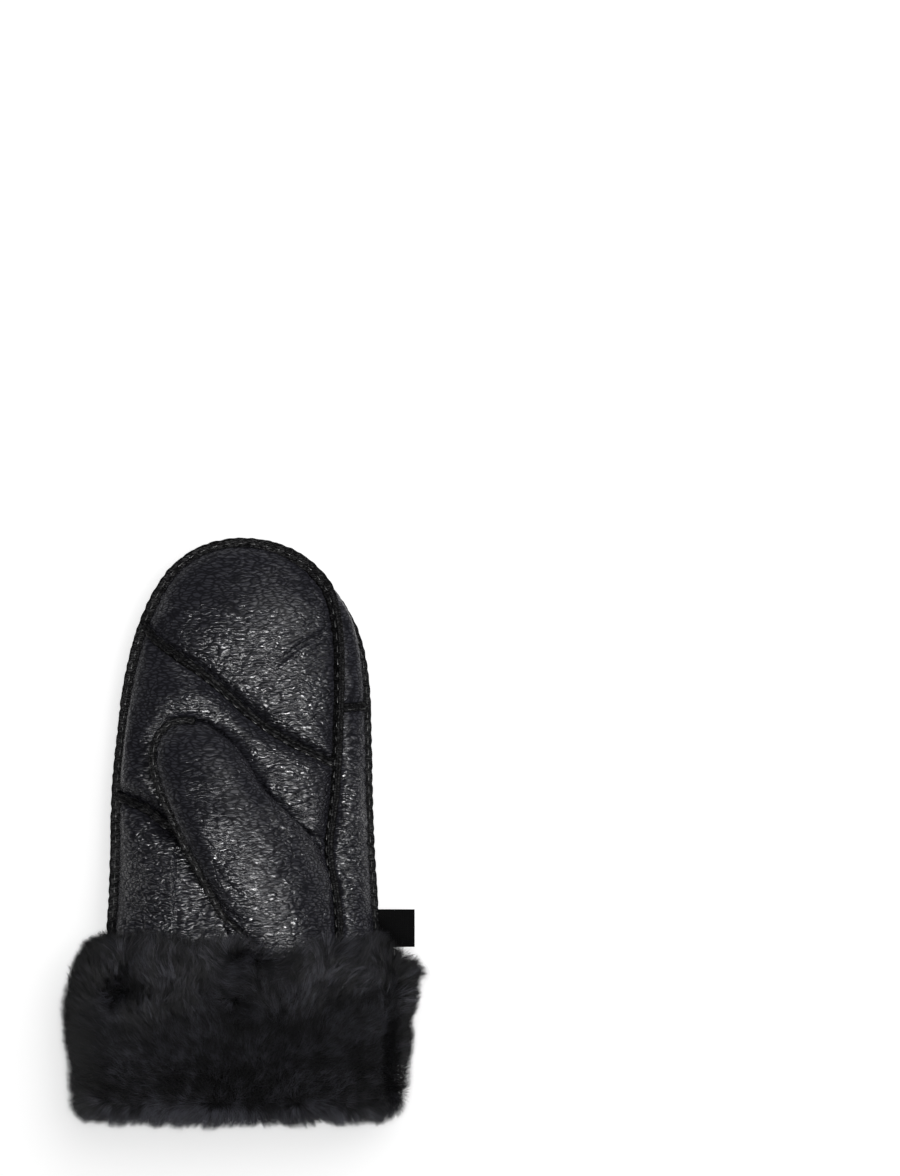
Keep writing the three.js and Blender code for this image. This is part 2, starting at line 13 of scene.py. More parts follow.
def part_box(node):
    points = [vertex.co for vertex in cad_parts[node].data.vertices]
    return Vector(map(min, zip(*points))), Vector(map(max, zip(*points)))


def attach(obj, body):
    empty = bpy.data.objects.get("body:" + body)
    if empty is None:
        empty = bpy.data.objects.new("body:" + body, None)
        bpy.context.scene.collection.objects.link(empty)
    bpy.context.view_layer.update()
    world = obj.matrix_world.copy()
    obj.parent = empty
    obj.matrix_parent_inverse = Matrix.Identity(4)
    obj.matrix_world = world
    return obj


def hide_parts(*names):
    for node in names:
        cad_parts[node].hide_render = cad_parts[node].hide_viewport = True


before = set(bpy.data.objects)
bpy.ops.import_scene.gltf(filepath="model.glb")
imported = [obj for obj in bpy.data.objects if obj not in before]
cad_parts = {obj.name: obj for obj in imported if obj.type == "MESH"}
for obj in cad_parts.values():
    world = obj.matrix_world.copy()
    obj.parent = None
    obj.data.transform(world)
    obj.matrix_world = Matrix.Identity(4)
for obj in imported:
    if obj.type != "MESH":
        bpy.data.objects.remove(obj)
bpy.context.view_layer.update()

MM = 0.001  # metres in a millimetre
PI = np.pi

# Sizes of the CAD model, in millimetres
HALF_WIDTH = 61
HAND_THICKNESS = 32
HAND_LENGTH = 238.8
TIP_Y = 126.8
THUMB_WIDTH = 41
THUMB_THICKNESS = 20
THUMB_LENGTH = 125
THUMB_TIP = np.array([-0.495 * HALF_WIDTH, TIP_Y - 0.329 * HAND_LENGTH])
THUMB_LEAN = np.radians(31)
SKIN = 1.8
LINING = 7
SEAM_WIDTH = 3
SEAM_STAND = 3.2
PILE_UNDER = 10
CUFF_LENGTH = 84
CUFF_WIDTH = 156
CUFF_HEIGHT = 57.6
CUFF_TOP_Y = -46
CUFF_MID = 0.46
SQUARENESS = 1.3
STITCH = 5.5  # from one stitch to the next

LOOK_AT = (91.3, 108.2)  # the middle of the photograph, on the table
VIEW_HEIGHT = 517.4  # height of the photograph, at the mitten's widest line
WIDEST_Z = 22  # height of that line over the table
VIEW_LENS = 100
SENSOR = 36


def table(names, *rows):
    """Columns by name."""
    return dict(zip(names.split(), np.array(rows, float).T))


HAND = table(
    "at left right seam mid crown belly lift drop",
    (0.0, -0.02, -0.02, -0.02, 0.39, 0.0, 0.0, 0, -0.4),
    (0.01, -0.25, 0.25, 0.235, 0.39, 0.16, 0.14, 0, -0.4),
    (0.04, -0.45, 0.49, 0.455, 0.39, 0.29, 0.27, 0, 0.5),
    (0.09, -0.6, 0.68, 0.615, 0.39, 0.385, 0.36, 0, 0.45),
    (0.16, -0.72, 0.81, 0.68, 0.39, 0.445, 0.41, 0, 0.28),
    (0.25, -0.81, 0.87, 0.698, 0.39, 0.48, 0.44, 0, 0.12),
    (0.35, -0.86, 0.885, 0.69, 0.39, 0.5, 0.44, 0, 0.08),
    (0.46, -0.9, 0.895, 0.67, 0.41, 0.51, 0.44, 0, 0.08),
    (0.56, -0.905, 0.91, 0.632, 0.45, 0.53, 0.46, 0.1, 0.08),
    (0.65, -0.91, 0.935, 0.69, 0.49, 0.545, 0.48, 0.38, 0.08),
    (0.72, -0.92, 0.95, 0.71, 0.51, 0.55, 0.5, 0.7, 0.08),
    (0.86, -0.93, 0.95, 0.71, 0.52, 0.54, 0.52, 1, 0.08),
    (1.0, -0.93, 0.95, 0.71, 0.52, 0.53, 0.52, 1, 0.08),
)
THUMB = table(
    "at left right left_rise right_rise crown belly",
    (0.0, 0.0, 0.0, 0.47, 0.47, 0.0, 0.0),
    (0.016, -0.17, 0.14, 0.47, 0.47, 0.2, 0.18),
    (0.048, -0.28, 0.27, 0.47, 0.47, 0.33, 0.28),
    (0.1, -0.365, 0.37, 0.48, 0.48, 0.42, 0.35),
    (0.16, -0.415, 0.425, 0.49, 0.49, 0.47, 0.4),
    (0.24, -0.455, 0.445, 0.5, 0.5, 0.5, 0.425),
    (0.36, -0.495, 0.445, 0.49, 0.49, 0.515, 0.435),
    (0.48, -0.52, 0.545, 0.39, 0.28, 0.53, 0.45),
    (0.58, -0.53, 0.64, 0.33, 0.02, 0.55, 0.45),
    (0.66, -0.525, 0.66, 0.28, -0.25, 0.55, 0.45),
    (0.76, -0.445, 0.58, 0.22, -0.42, 0.5, 0.45),
    (0.86, -0.36, 0.42, 0.08, -0.55, 0.36, 0.35),
    (1.0, -0.25, 0.25, -0.2, -0.65, 0.2, 0.2),
)
CUFF = table(
    "at left right top bottom",
    (0.0, -0.4, 0.385, 0.79, 0.13),
    (0.04, -0.43, 0.4, 0.87, 0.06),
    (0.09, -0.468, 0.44, 0.925, 0.02),
    (0.15, -0.488, 0.487, 0.965, 0.0),
    (0.23, -0.5, 0.5, 0.99, 0.0),
    (0.36, -0.5, 0.493, 1.0, 0.0),
    (0.44, -0.498, 0.474, 1.0, 0.0),
    (0.52, -0.497, 0.483, 1.0, 0.0),
    (0.72, -0.494, 0.474, 0.985, 0.0),
    (0.86, -0.486, 0.458, 0.95, 0.0),
    (0.94, -0.452, 0.428, 0.9, 0.03),
    (0.98, -0.415, 0.4, 0.845, 0.08),
    (1.0, -0.375, 0.365, 0.79, 0.13),
)
# Seams on the palm: share of HALF_WIDTH across, share of HAND_LENGTH from the fingertip
DIAGONAL_SEAM = (
    (-0.76, 0.136), (-0.617, 0.174), (-0.307, 0.229), (-0.126, 0.266), (0.054, 0.307),
    (0.234, 0.34), (0.415, 0.367), (0.692, 0.4025),
)
SIDE_SEAM = (
    (-0.9, 0.465), (-0.83, 0.47), (-0.703, 0.482), (-0.617, 0.498), (-0.5, 0.52),
)
CROTCH_LINE = (
    (-0.56, 0.508), (-0.307, 0.539), (-0.018, 0.5535), (0.307, 0.557), (0.65, 0.5515),
)
HEEL_LINE = (
    (-0.5, 0.52), (-0.3, 0.6), (-0.1, 0.68), (0.02, 0.76), (0.06, 0.86), (0.06, 1.0),
)
CROSS_SEAM_AT = 0.296
CROTCH_X = -0.5 * HALF_WIDTH  # where the side seam meets the thumb


# Small tools


def smooth_step(value, low, high):
    t = np.clip((value - low) / (high - low), 0, 1)
    return t * t * (3 - 2 * t)


def smooth_max(a, b, soft):
    """The higher of two heights, rounded where they meet."""
    h = np.clip(0.5 + 0.5 * (a - b) / soft, 0, 1)
    return b + (a - b) * h + soft * h * (1 - h)


def bell(value):
    """1 at 0, falling smoothly to nothing on both sides."""
    return np.exp(-(value**2))


def raised(value, power):
    """A power that keeps the sign."""
    return np.sign(value) * np.abs(value) ** power


def unit(vectors):
    return vectors / np.maximum(np.linalg.norm(vectors, axis=-1, keepdims=True), 1e-9)


def stack(x, y, z):
    return np.stack(np.broadcast_arrays(x, y, z), -1).astype(float)


def lumps(points, size, seed):
    """Soft noise from about -1 to 1. size: of its lumps along x, y and z."""
    scaled = points / np.array(size) + np.array([17.3, 9.1, 5.7]) * seed
    flat = scaled.reshape(-1, 3).tolist()
    return np.array([noise.noise(p) for p in flat]).reshape(points.shape[:-1])


def read(rows, column, at, rounded=True):
    """One column at a share of the length, on the CAD's smooth curve through the rows."""
    scale = np.sqrt if rounded else np.asarray
    t = scale(rows["at"])
    v = rows[column]
    before = np.maximum(np.arange(len(t)) - 1, 0)
    after = np.minimum(np.arange(len(t)) + 1, len(t) - 1)
    slope = (v[after] - v[before]) / (t[after] - t[before])
    q = scale(np.clip(at, 0, 1))
    i = np.clip(np.searchsorted(t, q) - 1, 0, len(t) - 2)
    h = t[i + 1] - t[i]
    s = (q - t[i]) / h
    rise = v[i + 1] - v[i]
    bend = (1 - s) * slope[i] - s * slope[i + 1]
    return v[i] + s * s * (3 - 2 * s) * rise + h * s * (1 - s) * bend


# The CAD's surfaces


def edges(rows, at, width):
    """How far left and right a section reaches."""
    return read(rows, "left", at) * width, read(rows, "right", at) * width


def hand_point(at, angle, inset=0.0):
    """A point of the hand. angle: 0 is its right side and a quarter turn the palm."""
    left, right = edges(HAND, at, HALF_WIDTH)
    across = raised(np.cos(angle), 1 / SQUARENESS)
    up = np.sin(angle)
    crown = read(HAND, "crown", at)
    belly = read(HAND, "belly", at)
    bulge = np.where(up > 0, crown, belly) * HAND_THICKNESS
    mid = read(HAND, "mid", at) * HAND_THICKNESS + read(HAND, "lift", at) * PILE_UNDER
    x = (left + right) / 2 + across * (right - left) / 2 * (1 - inset / HALF_WIDTH)
    y = TIP_Y - inset - at * (HAND_LENGTH - inset)
    z = mid + up * bulge * (1 - 2 * inset / HAND_THICKNESS)
    return stack(x, y, np.maximum(z, max(inset, 0)))


def palm_angle(x, at):
    """Angle of the palm's point over x."""
    left, right = edges(HAND, at, HALF_WIDTH)
    share = (2 * x - left - right) / (right - left)
    return np.arccos(np.clip(raised(share, SQUARENESS), -1, 1))


def palm_height(x, y):
    at = np.clip((TIP_Y - y) / HAND_LENGTH, 0, 1)
    return hand_point(at, palm_angle(x, at))[..., 2]


THUMB_DOWN = np.array([np.sin(THUMB_LEAN), -np.cos(THUMB_LEAN)])
THUMB_RIGHT = np.array([np.cos(THUMB_LEAN), np.sin(THUMB_LEAN)])


def thumb_height_line(at, across):
    """Height of the thumb's widest line, a share of the way from its left to its right."""
    axis_x = THUMB_TIP[0] + THUMB_DOWN[0] * at * THUMB_LENGTH
    axis_y = THUMB_TIP[1] + THUMB_DOWN[1] * at * THUMB_LENGTH
    side = (across + 1) / 2
    left = read(THUMB, "left_rise", at)
    right = read(THUMB, "right_rise", at)
    return palm_height(axis_x, axis_y) + (left + (right - left) * side) * THUMB_THICKNESS


def thumb_point(at, angle, inset=0.0):
    left, right = edges(THUMB, at, THUMB_WIDTH)
    across = raised(np.cos(angle), 1 / SQUARENESS)
    up = np.sin(angle)
    crown = read(THUMB, "crown", at)
    belly = read(THUMB, "belly", at)
    bulge = np.where(up > 0, crown, belly) * THUMB_THICKNESS
    down = inset + at * (THUMB_LENGTH - 2 * inset)
    aside = (left + right) / 2
    aside = aside + across * (right - left) / 2 * (1 - 2 * inset / THUMB_WIDTH)
    x = THUMB_TIP[0] + THUMB_DOWN[0] * down + THUMB_RIGHT[0] * aside
    y = THUMB_TIP[1] + THUMB_DOWN[1] * down + THUMB_RIGHT[1] * aside
    z = thumb_height_line(at, across) + up * bulge * (1 - 2 * inset / THUMB_THICKNESS)
    return stack(x, y, z)


def thumb_plan(x, y):
    """Share along the thumb, share across it and how far outside its outline."""
    down = (x - THUMB_TIP[0]) * THUMB_DOWN[0] + (y - THUMB_TIP[1]) * THUMB_DOWN[1]
    aside = (x - THUMB_TIP[0]) * THUMB_RIGHT[0] + (y - THUMB_TIP[1]) * THUMB_RIGHT[1]
    at = np.clip(down / THUMB_LENGTH, 1e-4, 1)
    left, right = edges(THUMB, at, THUMB_WIDTH)
    across = (2 * aside - left - right) / np.maximum(right - left, 1e-6)
    beyond = np.maximum(np.abs(across) - 1, 0) * (right - left) / 2
    beyond = beyond + np.maximum(-down, 0)
    return at, np.clip(across, -1, 1), beyond


def thumb_height(x, y):
    """Height of the thumb's upper side over the plan, falling away outside its outline."""
    at, across, beyond = thumb_plan(x, y)
    turn = raised(across, SQUARENESS)
    up = np.sqrt(np.maximum(1 - turn * turn, 0))
    crown = read(THUMB, "crown", at) * THUMB_THICKNESS
    return thumb_height_line(at, across) + up * crown - 1.2 * beyond


def cuff_point(at, angle, inset=0.0):
    left = read(CUFF, "left", at, False) * CUFF_WIDTH + inset
    right = read(CUFF, "right", at, False) * CUFF_WIDTH - inset
    up = np.sin(angle)
    top = read(CUFF, "top", at, False)
    bottom = read(CUFF, "bottom", at, False)
    bulge = np.abs(np.where(up > 0, top, bottom) - CUFF_MID) * CUFF_HEIGHT - inset
    across = raised(np.cos(angle), 1 / SQUARENESS)
    x = (left + right) / 2 + across * (right - left) / 2
    y = CUFF_TOP_Y - at * CUFF_LENGTH
    z = CUFF_MID * CUFF_HEIGHT + raised(up, 1 / SQUARENESS) * bulge
    return stack(x, y, z)


# Materials

WAVES = 6.3  # a wave texture of scale 1 repeats this often in a unit


def linear(hex_colour):
    """An sRGB hex colour as linear RGBA."""
    parts = [int(hex_colour[i : i + 2], 16) / 255 for i in (1, 3, 5)]
    curve = [c / 12.92 if c <= 0.04045 else ((c + 0.055) / 1.055) ** 2.4 for c in parts]
    return (*curve, 1.0)


def link(tree, node, links):
    """Links into a node's sockets, each from a socket or from a node's first output."""
    for socket, source in links.items():
        if isinstance(source, bpy.types.Node):
            source = source.outputs[0]
        tree.links.new(source, node.inputs[socket])


def add(tree, kind, settings=None, values=None, links=None):
    """A node with its settings, its sockets' values and the links into it."""
    made = tree.nodes.new("ShaderNode" + kind)
    for name, value in (settings or {}).items():
        setattr(made, name, value)
    for socket, value in (values or {}).items():
        made.inputs[socket].default_value = value
    link(tree, made, links or {})
    return made


def start_material(name, values):
    material = bpy.data.materials.new(name)
    material.use_nodes = True
    tree = material.node_tree
    tree.nodes.clear()
    shader = add(tree, "BsdfPrincipled", values=values)
    add(tree, "OutputMaterial", links={"Surface": shader})
    return material, tree, shader


def colour_steps(ramp, *stops):
    """Sets a colour ramp's stops: pairs of place and hex colour."""
    elements = ramp.color_ramp.elements
    while len(elements) < len(stops):
        elements.new(1.0)
    for element, (place, colour) in zip(elements, stops):
        element.position = place
        element.color = linear(colour)


def grained_lambskin(name, cell_mm, relief_mm, polish_range, gloss, cavity_shade_and_tone):
    """Lambskin, drum dyed and polished: pebbles that run together across the hand in short
    creases. Crumpled hide is glossier and glints on each pebble, and the smooth places are
    dull. The pebbles' cavities are painted darker, in colour and in specular level, as painted
    shade. The cells are drawn coarser than the real ones, to show."""
    material, tree, shader = start_material(name, {"IOR": 1.5})
    place = add(tree, "TexCoord").outputs["Object"]
    smoothed = {"interpolation_type": "SMOOTHSTEP"}
    drift = add(
        tree,
        "TexNoise",
        values={"Scale": 1 / (8 * MM), "Detail": 2.0},
        links={"Vector": place},
    )
    shifted = add(
        tree,
        "VectorMath",
        {"operation": "MULTIPLY_ADD"},
        {1: (3.6 * MM, 3.6 * MM, 3.6 * MM)},
        {0: drift.outputs["Color"], 2: place},
    )
    stretched = add(
        tree,
        "Mapping",
        values={"Scale": (0.36, 1.3, 0.9), "Rotation": (0, 0, 0.1)},
        links={"Vector": shifted},
    )
    cells = add(
        tree,
        "TexVoronoi",
        {"feature": "DISTANCE_TO_EDGE"},
        {"Scale": 1 / (cell_mm * MM), "Randomness": 1.0},
        {"Vector": stretched},
    )
    pebble = add(tree, "MapRange", smoothed, {"From Max": 0.5}, {"Value": cells})
    folds = add(
        tree,
        "TexNoise",
        values={"Scale": 1 / (2.2 * cell_mm * MM), "Detail": 1.5, "Roughness": 0.5},
        links={"Vector": stretched},
    )
    signed = add(tree, "Math", {"operation": "SUBTRACT"}, {1: 0.5}, {0: folds})
    from_fold = add(tree, "Math", {"operation": "ABSOLUTE"}, links={0: signed})
    crease = add(tree, "MapRange", smoothed, {"From Max": 0.09}, {"Value": from_fold})
    pores = add(
        tree,
        "TexNoise",
        values={"Scale": 1 / (0.35 * MM), "Detail": 2.0},
        links={"Vector": place},
    )
    crumple = add(tree, "Attribute", {"attribute_name": "crumple"}).outputs["Fac"]
    folded = add(tree, "Math", {"operation": "MULTIPLY_ADD"}, {1: 0.9}, {0: pebble, 2: crease})
    grain = add(tree, "Math", {"operation": "MULTIPLY"}, links={0: folded, 1: crumple})
    height = add(tree, "Math", {"operation": "MULTIPLY_ADD"}, {1: 0.03}, {0: pores, 2: grain})
    bump = add(
        tree,
        "Bump",
        values={"Strength": 1.0, "Distance": relief_mm * MM},
        links={"Height": height},
    )
    polish = add(
        tree,
        "MapRange",
        values={"To Min": polish_range[0], "To Max": polish_range[1]},
        links={"Value": folds},
    )
    # painted shade: the specular level is lowered in the pebbles' cavities
    shade = add(
        tree,
        "MapRange",
        values={"From Max": 0.4, "To Min": 0.2, "To Max": 1.0},
        links={"Value": pebble},
    )
    rubbed = add(
        tree,
        "MapRange",
        values={"From Min": 0.25, "From Max": 0.9, "To Min": 0.28 * gloss, "To Max": gloss},
        links={"Value": crumple},
    )
    shine = add(tree, "Math", {"operation": "MULTIPLY"}, links={0: shade, 1: rubbed})
    # painted shade: the cavities take the first, darker colour of the pair
    tone = add(tree, "ValToRGB", links={"Fac": pebble})
    colour_steps(tone, (0.0, cavity_shade_and_tone[0]), (0.4, cavity_shade_and_tone[1]))
    link(
        tree,
        shader,
        {"Base Color": tone, "Roughness": polish, "Specular IOR Level": shine, "Normal": bump},
    )
    return material


def waxed_thread():
    """Twisted polyester thread, black and waxed: fine slanting ply lines and a dull glint."""
    values = {"Base Color": linear("#0d0d0e"), "Roughness": 0.36, "IOR": 1.5}
    material, tree, shader = start_material("waxed_thread", values)
    place = add(tree, "TexCoord").outputs["Object"]
    plies = add(
        tree,
        "TexWave",
        {"wave_type": "BANDS", "bands_direction": "DIAGONAL"},
        {"Scale": 1 / (1.2 * MM) / WAVES, "Distortion": 1.5},
        {"Vector": place},
    )
    bump = add(
        tree,
        "Bump",
        values={"Strength": 0.7, "Distance": 0.08 * MM},
        links={"Height": plies.outputs["Fac"]},
    )
    link(tree, shader, {"Normal": bump})
    return material


def wool_fibre():
    """Sheared lambswool, dyed black and ironed: soft fibres, painted nearly black towards the
    roots as painted shade of the pile's depth and grey at a lock's tips as a painted highlight."""
    values = {"Roughness": 0.6, "IOR": 1.45, "Specular IOR Level": 0.2}
    material, tree, shader = start_material("wool_fibre", values)
    # reach: painted shade and highlight, from dark roots to light tips
    reach = add(tree, "Attribute", {"attribute_name": "reach"}).outputs["Fac"]
    tone = add(tree, "ValToRGB", links={"Fac": reach})
    colour_steps(tone, (0.0, "#070708"), (0.5, "#1d1d21"), (1.0, "#4c4c54"))
    link(tree, shader, {"Base Color": tone})
    return material


def wool_felt():
    """The felted foot of the wool, in the shade of the pile: matt, with curls about 1.5 mm
    across."""
    values = {"Roughness": 0.95, "IOR": 1.5, "Specular IOR Level": 0.1}
    material, tree, shader = start_material("wool_felt", values)
    place = add(tree, "TexCoord").outputs["Object"]
    curls = add(
        tree,
        "TexNoise",
        values={"Scale": 1 / (1.5 * MM), "Detail": 4.0, "Distortion": 1.0},
        links={"Vector": place},
    )
    bump = add(tree, "Bump", values={"Strength": 1.0, "Distance": 0.8 * MM}, links={"Height": curls})
    tone = add(tree, "ValToRGB", links={"Fac": curls})
    colour_steps(tone, (0.3, "#060607"), (0.7, "#101012"))
    link(tree, shader, {"Base Color": tone, "Normal": bump})
    return material


def woven_tape():
    """Polyester tape, woven in fine satin rows: threads 0.3 mm apart, drawn 0.5 mm apart
    so that they show."""
    values = {"Roughness": 0.8, "IOR": 1.5, "Specular IOR Level": 0.03}
    material, tree, shader = start_material("woven_tape", values)
    place = add(tree, "TexCoord").outputs["Object"]
    rows = [
        add(
            tree,
            "TexWave",
            {"wave_type": "BANDS", "bands_direction": direction},
            {"Scale": 1 / (0.5 * MM) / WAVES, "Distortion": 0.2},
            {"Vector": place},
        ).outputs["Fac"]
        for direction in ("X", "Y")
    ]
    weave = add(tree, "Math", {"operation": "ADD"}, links={0: rows[0], 1: rows[1]})
    bump = add(tree, "Bump", values={"Strength": 0.8, "Distance": 0.12 * MM}, links={"Height": weave})
    tone = add(tree, "ValToRGB", links={"Fac": weave})
    colour_steps(tone, (0.2, "#030303"), (1.0, "#080809"))
    link(tree, shader, {"Base Color": tone, "Normal": bump})
    return material


def studio_paper():
    """Seamless white paper, matt, bright enough to burn out as in a product photograph."""
    values = {
        "Base Color": linear("#bebebe"),
        "Roughness": 0.95,
        "Specular IOR Level": 0.1,
        "Emission Color": (1, 1, 1, 1),
        "Emission Strength": 0.68,
    }
    return start_material("studio_paper", values)[0]


# Each pair of colours: painted shade in the grain's cavities, then the hide's own tone
LEATHER = grained_lambskin("grained_lambskin", 1.65, 0.37, (0.19, 0.3), 0.58, ("#1b1b1f", "#323238"))
SEAM_LEATHER = grained_lambskin("seam_lambskin", 1.2, 0.3, (0.45, 0.6), 0.22, ("#060607", "#0d0d0f"))
THREAD = waxed_thread()
FIBRE = wool_fibre()
FELT = wool_felt()
TAPE = woven_tape()


# Making pieces


def new_mesh(name, points, faces, materials, smooth=True, face_materials=None):
    """An object from points in millimetres and a list of face arrays."""
    faces = [f for f in faces if len(f)]
    corners = np.concatenate([f.ravel() for f in faces]).astype(np.int32)
    sizes = np.concatenate([np.full(len(f), f.shape[1]) for f in faces])
    starts = np.concatenate([[0], np.cumsum(sizes)[:-1]]).astype(np.int32)
    mesh = bpy.data.meshes.new(name)
    mesh.vertices.add(len(points))
    mesh.vertices.foreach_set("co", (points * MM).astype(np.float32).ravel())
    mesh.loops.add(len(corners))
    mesh.loops.foreach_set("vertex_index", corners)
    mesh.polygons.add(len(sizes))
    mesh.polygons.foreach_set("loop_start", starts)
    for material in materials:
        mesh.materials.append(material)
    if face_materials is not None:
        mesh.polygons.foreach_set("material_index", face_materials.astype(np.int32))
    mesh.polygons.foreach_set("use_smooth", np.full(len(sizes), smooth))
    mesh.update(calc_edges=True)
    made = bpy.data.objects.new(name, mesh)
    bpy.context.scene.collection.objects.link(made)
    return made


def set_attribute(made, name, values):
    attribute = made.data.attributes.new(name, "FLOAT", "POINT")
    attribute.data.foreach_set("value", np.asarray(values, np.float32).ravel())


def fit(made, node):
    """Puts a finished piece in place of its CAD node."""
    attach(made, "root")
    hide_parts(node)


def grid_faces(rows, columns, closed=False):
    """Quads of a grid of points."""
    index = np.arange(rows * columns).reshape(rows, columns)
    if closed:
        index = np.concatenate([index, index[:, :1]], 1)
    a = index[:-1, :-1]
    b = index[:-1, 1:]
    c = index[1:, 1:]
    d = index[1:, :-1]
    return np.stack([a, b, c, d], -1).reshape(-1, 4)


def face_places(rows, angles):
    """Share of the length and angle at the middle of each face of a grid."""
    at = np.repeat((rows[1:] + rows[:-1]) / 2, len(angles) - 1)
    return at, np.tile((angles[1:] + angles[:-1]) / 2, len(rows) - 1)


def used_only(points, faces, *values):
    """Drops the points that no face uses."""
    used = np.unique(faces)
    place = np.zeros(len(points), int)
    place[used] = np.arange(len(used))
    return points[used], place[faces], *(v[used] for v in values)


def grid_normals(points, closed):
    """Outward normals of a grid whose rows run from the tip and whose columns run from the
    right side over the top."""
    down = np.gradient(points, axis=0)
    if closed:
        wrapped = np.concatenate([points[:, -1:], points, points[:, :1]], 1)
        round_ = (wrapped[:, 2:] - wrapped[:, :-2]) / 2
    else:
        round_ = np.gradient(points, axis=1)
    return unit(np.cross(round_, down))


def run_along(line):
    """Distance along a polyline at each of its points."""
    return np.concatenate([[0], np.cumsum(np.linalg.norm(np.diff(line, axis=0), axis=1))])


def even_angles(point_at, start, end, count):
    """Angles that stand evenly along a section."""
    fine = np.linspace(start, end, 1500)
    run = run_along(point_at(fine))
    return np.interp(np.linspace(0, run[-1], count), run, fine)


def even_line(points, step, *others):
    """A polyline again, with points a step apart."""
    run = run_along(points)
    count = max(int(run[-1] / step), 3)
    wanted = np.linspace(0, run[-1], count)
    out = []
    for values in (points, *others):
        columns = [np.interp(wanted, run, values[:, k]) for k in range(values.shape[1])]
        out.append(np.stack(columns, 1))
    return out


def curve_through(points, count):
    """A smooth curve through points of the plan."""
    p = np.array(points, float)
    run = run_along(p)
    rows = {"at": run / run[-1], "x": p[:, 0], "y": p[:, 1]}
    t = np.linspace(0, 1, count)
    return read(rows, "x", t, False), read(rows, "y", t, False)


# Seam lines

STEP = STITCH / 10  # between the rings of a seam


def surface_line(point_at, at, angle):
    """Points along a surface and the way out of the leather at each."""
    points = point_at(at, angle)
    outs = unit(points - point_at(at, angle, SKIN))
    points, outs = even_line(points, STEP, outs)
    return points, unit(outs)


def strip_angle(at):
    """Angle of the seam between the strip and the back."""
    return -np.arcsin(read(HAND, "drop", at))


def palm_line(points):
    x, at = curve_through([(x * HALF_WIDTH, at * HAND_LENGTH) for x, at in points], 160)
    at = at / HAND_LENGTH
    return surface_line(hand_point, at, palm_angle(x, at))


def outline_line():
    near = np.linspace(np.sqrt(0.0002), 1, 500) ** 2
    seam_x = read(HAND, "seam", near) * HALF_WIDTH
    at = np.concatenate([near[::-1], near])
    angle = np.concatenate([np.full(len(near), PI), palm_angle(seam_x, near)])
    return surface_line(hand_point, at, angle)


def strip_line():
    at = np.linspace(np.sqrt(0.012), 1, 500) ** 2
    return surface_line(hand_point, at, strip_angle(at))


def cross_line():
    at = np.full(60, CROSS_SEAM_AT)
    seam_x = read(HAND, "seam", at) * HALF_WIDTH
    start = palm_angle(seam_x, at)
    end = strip_angle(at)
    angle = start + (end - start) * np.linspace(0, 1, 60)
    return surface_line(hand_point, at, angle)


def thumb_line():
    left = np.linspace(np.sqrt(0.0002), np.sqrt(0.86), 400) ** 2
    turn = np.linspace(np.sqrt(0.0002), np.sqrt(0.035), 60) ** 2
    at = np.concatenate([left[::-1], turn])
    angle = np.concatenate([np.full(len(left), PI), np.zeros(len(turn))])
    points, outs = surface_line(thumb_point, at, angle)
    keep = points[:, 1] > CUFF_TOP_Y - 8
    return points[keep], outs[keep]


def sink(outs):
    """How deep a seam pulls the leather in: deep where it faces up, little at the sides."""
    return 0.5 + 1.9 * smooth_step(outs[:, 2], 0.3, 0.95)


LINES = {
    "outline_seam": outline_line(),
    "strip_seam": strip_line(),
    "cross_seam": cross_line(),
    "diagonal_seam": palm_line(DIAGONAL_SEAM),
    "side_seam": palm_line(SIDE_SEAM),
    "thumb_seam": thumb_line(),
}


def tree_of(points):
    tree = kdtree.KDTree(len(points))
    for i, p in enumerate(points.tolist()):
        tree.insert(p, i)
    tree.balance()
    return tree


def nearest(tree, points):
    """Index of and distance to the nearest point of a tree."""
    found = [tree.find(p)[1:] for p in points.reshape(-1, 3).tolist()]
    index, distance = np.array(found).T
    return index.astype(int).reshape(points.shape[:-1]), distance.reshape(points.shape[:-1])


# The leather's relief

# Places where the hide lies smooth and matt: x, y, half width and half length
SMOOTH_PLACES = (
    (-3, 117, 46, 16),
    (-25, 36, 18, 15),
    (0, -2, 20, 24),
    (-42, 62, 14, 30),
    (48, 80, 8, 30),
    (-16, 22, 9, 16),
)
# Places where it is crumpled and polished
CRUMPLED_PLACES = (
    (4, 76, 24, 11),
    (26, 58, 15, 12),
    (26, 20, 12, 22),
    (-22, 54, 14, 7),
    (-4, -24, 14, 20),
    (-36, -22, 12, 26),
    (46, 0, 8, 26),
)
# Creases, each through points of the plan, with its depth
CREASES = (
    (1.4, (39, 90), (26, 83), (13, 73)),
    (2.0, (8, 24), (15, 12), (19, 7), (27, 1.5), (40, -3)),
    (0.6, (58, 49), (50, 44), (43, 42)),
    (0.6, (58, 40), (51, 36), (44, 35)),
    (0.7, (58, 29), (50, 27), (43, 24)),
    (0.5, (59, 18), (51, 12), (44, 12)),
    (0.7, (59, 3), (50, 1), (43, -3)),
    (0.7, (59, -4), (48, -6), (42, -9)),
    (0.6, (44, 12), (48, 4), (52, -2)),
    (0.6, (43, 4), (47, -8), (54, -18)),
    (0.5, (43, -12), (48, -20), (56, -26)),
    (0.6, (34, 4), (24, 8), (16, 16)),
    (0.5, (-54, 8), (-44, 2), (-36, -8)),
    (0.6, (-10, -14), (-2, -22), (8, -30)),
    (0.5, (-14, -20), (-6, -30), (6, -38)),
    (0.5, (2, -8), (12, -12), (24, -12)),
    (0.5, (-34, -26), (-26, -30), (-18, -36)),
    (0.5, (-50, -28), (-40, -34), (-30, -38)),
)
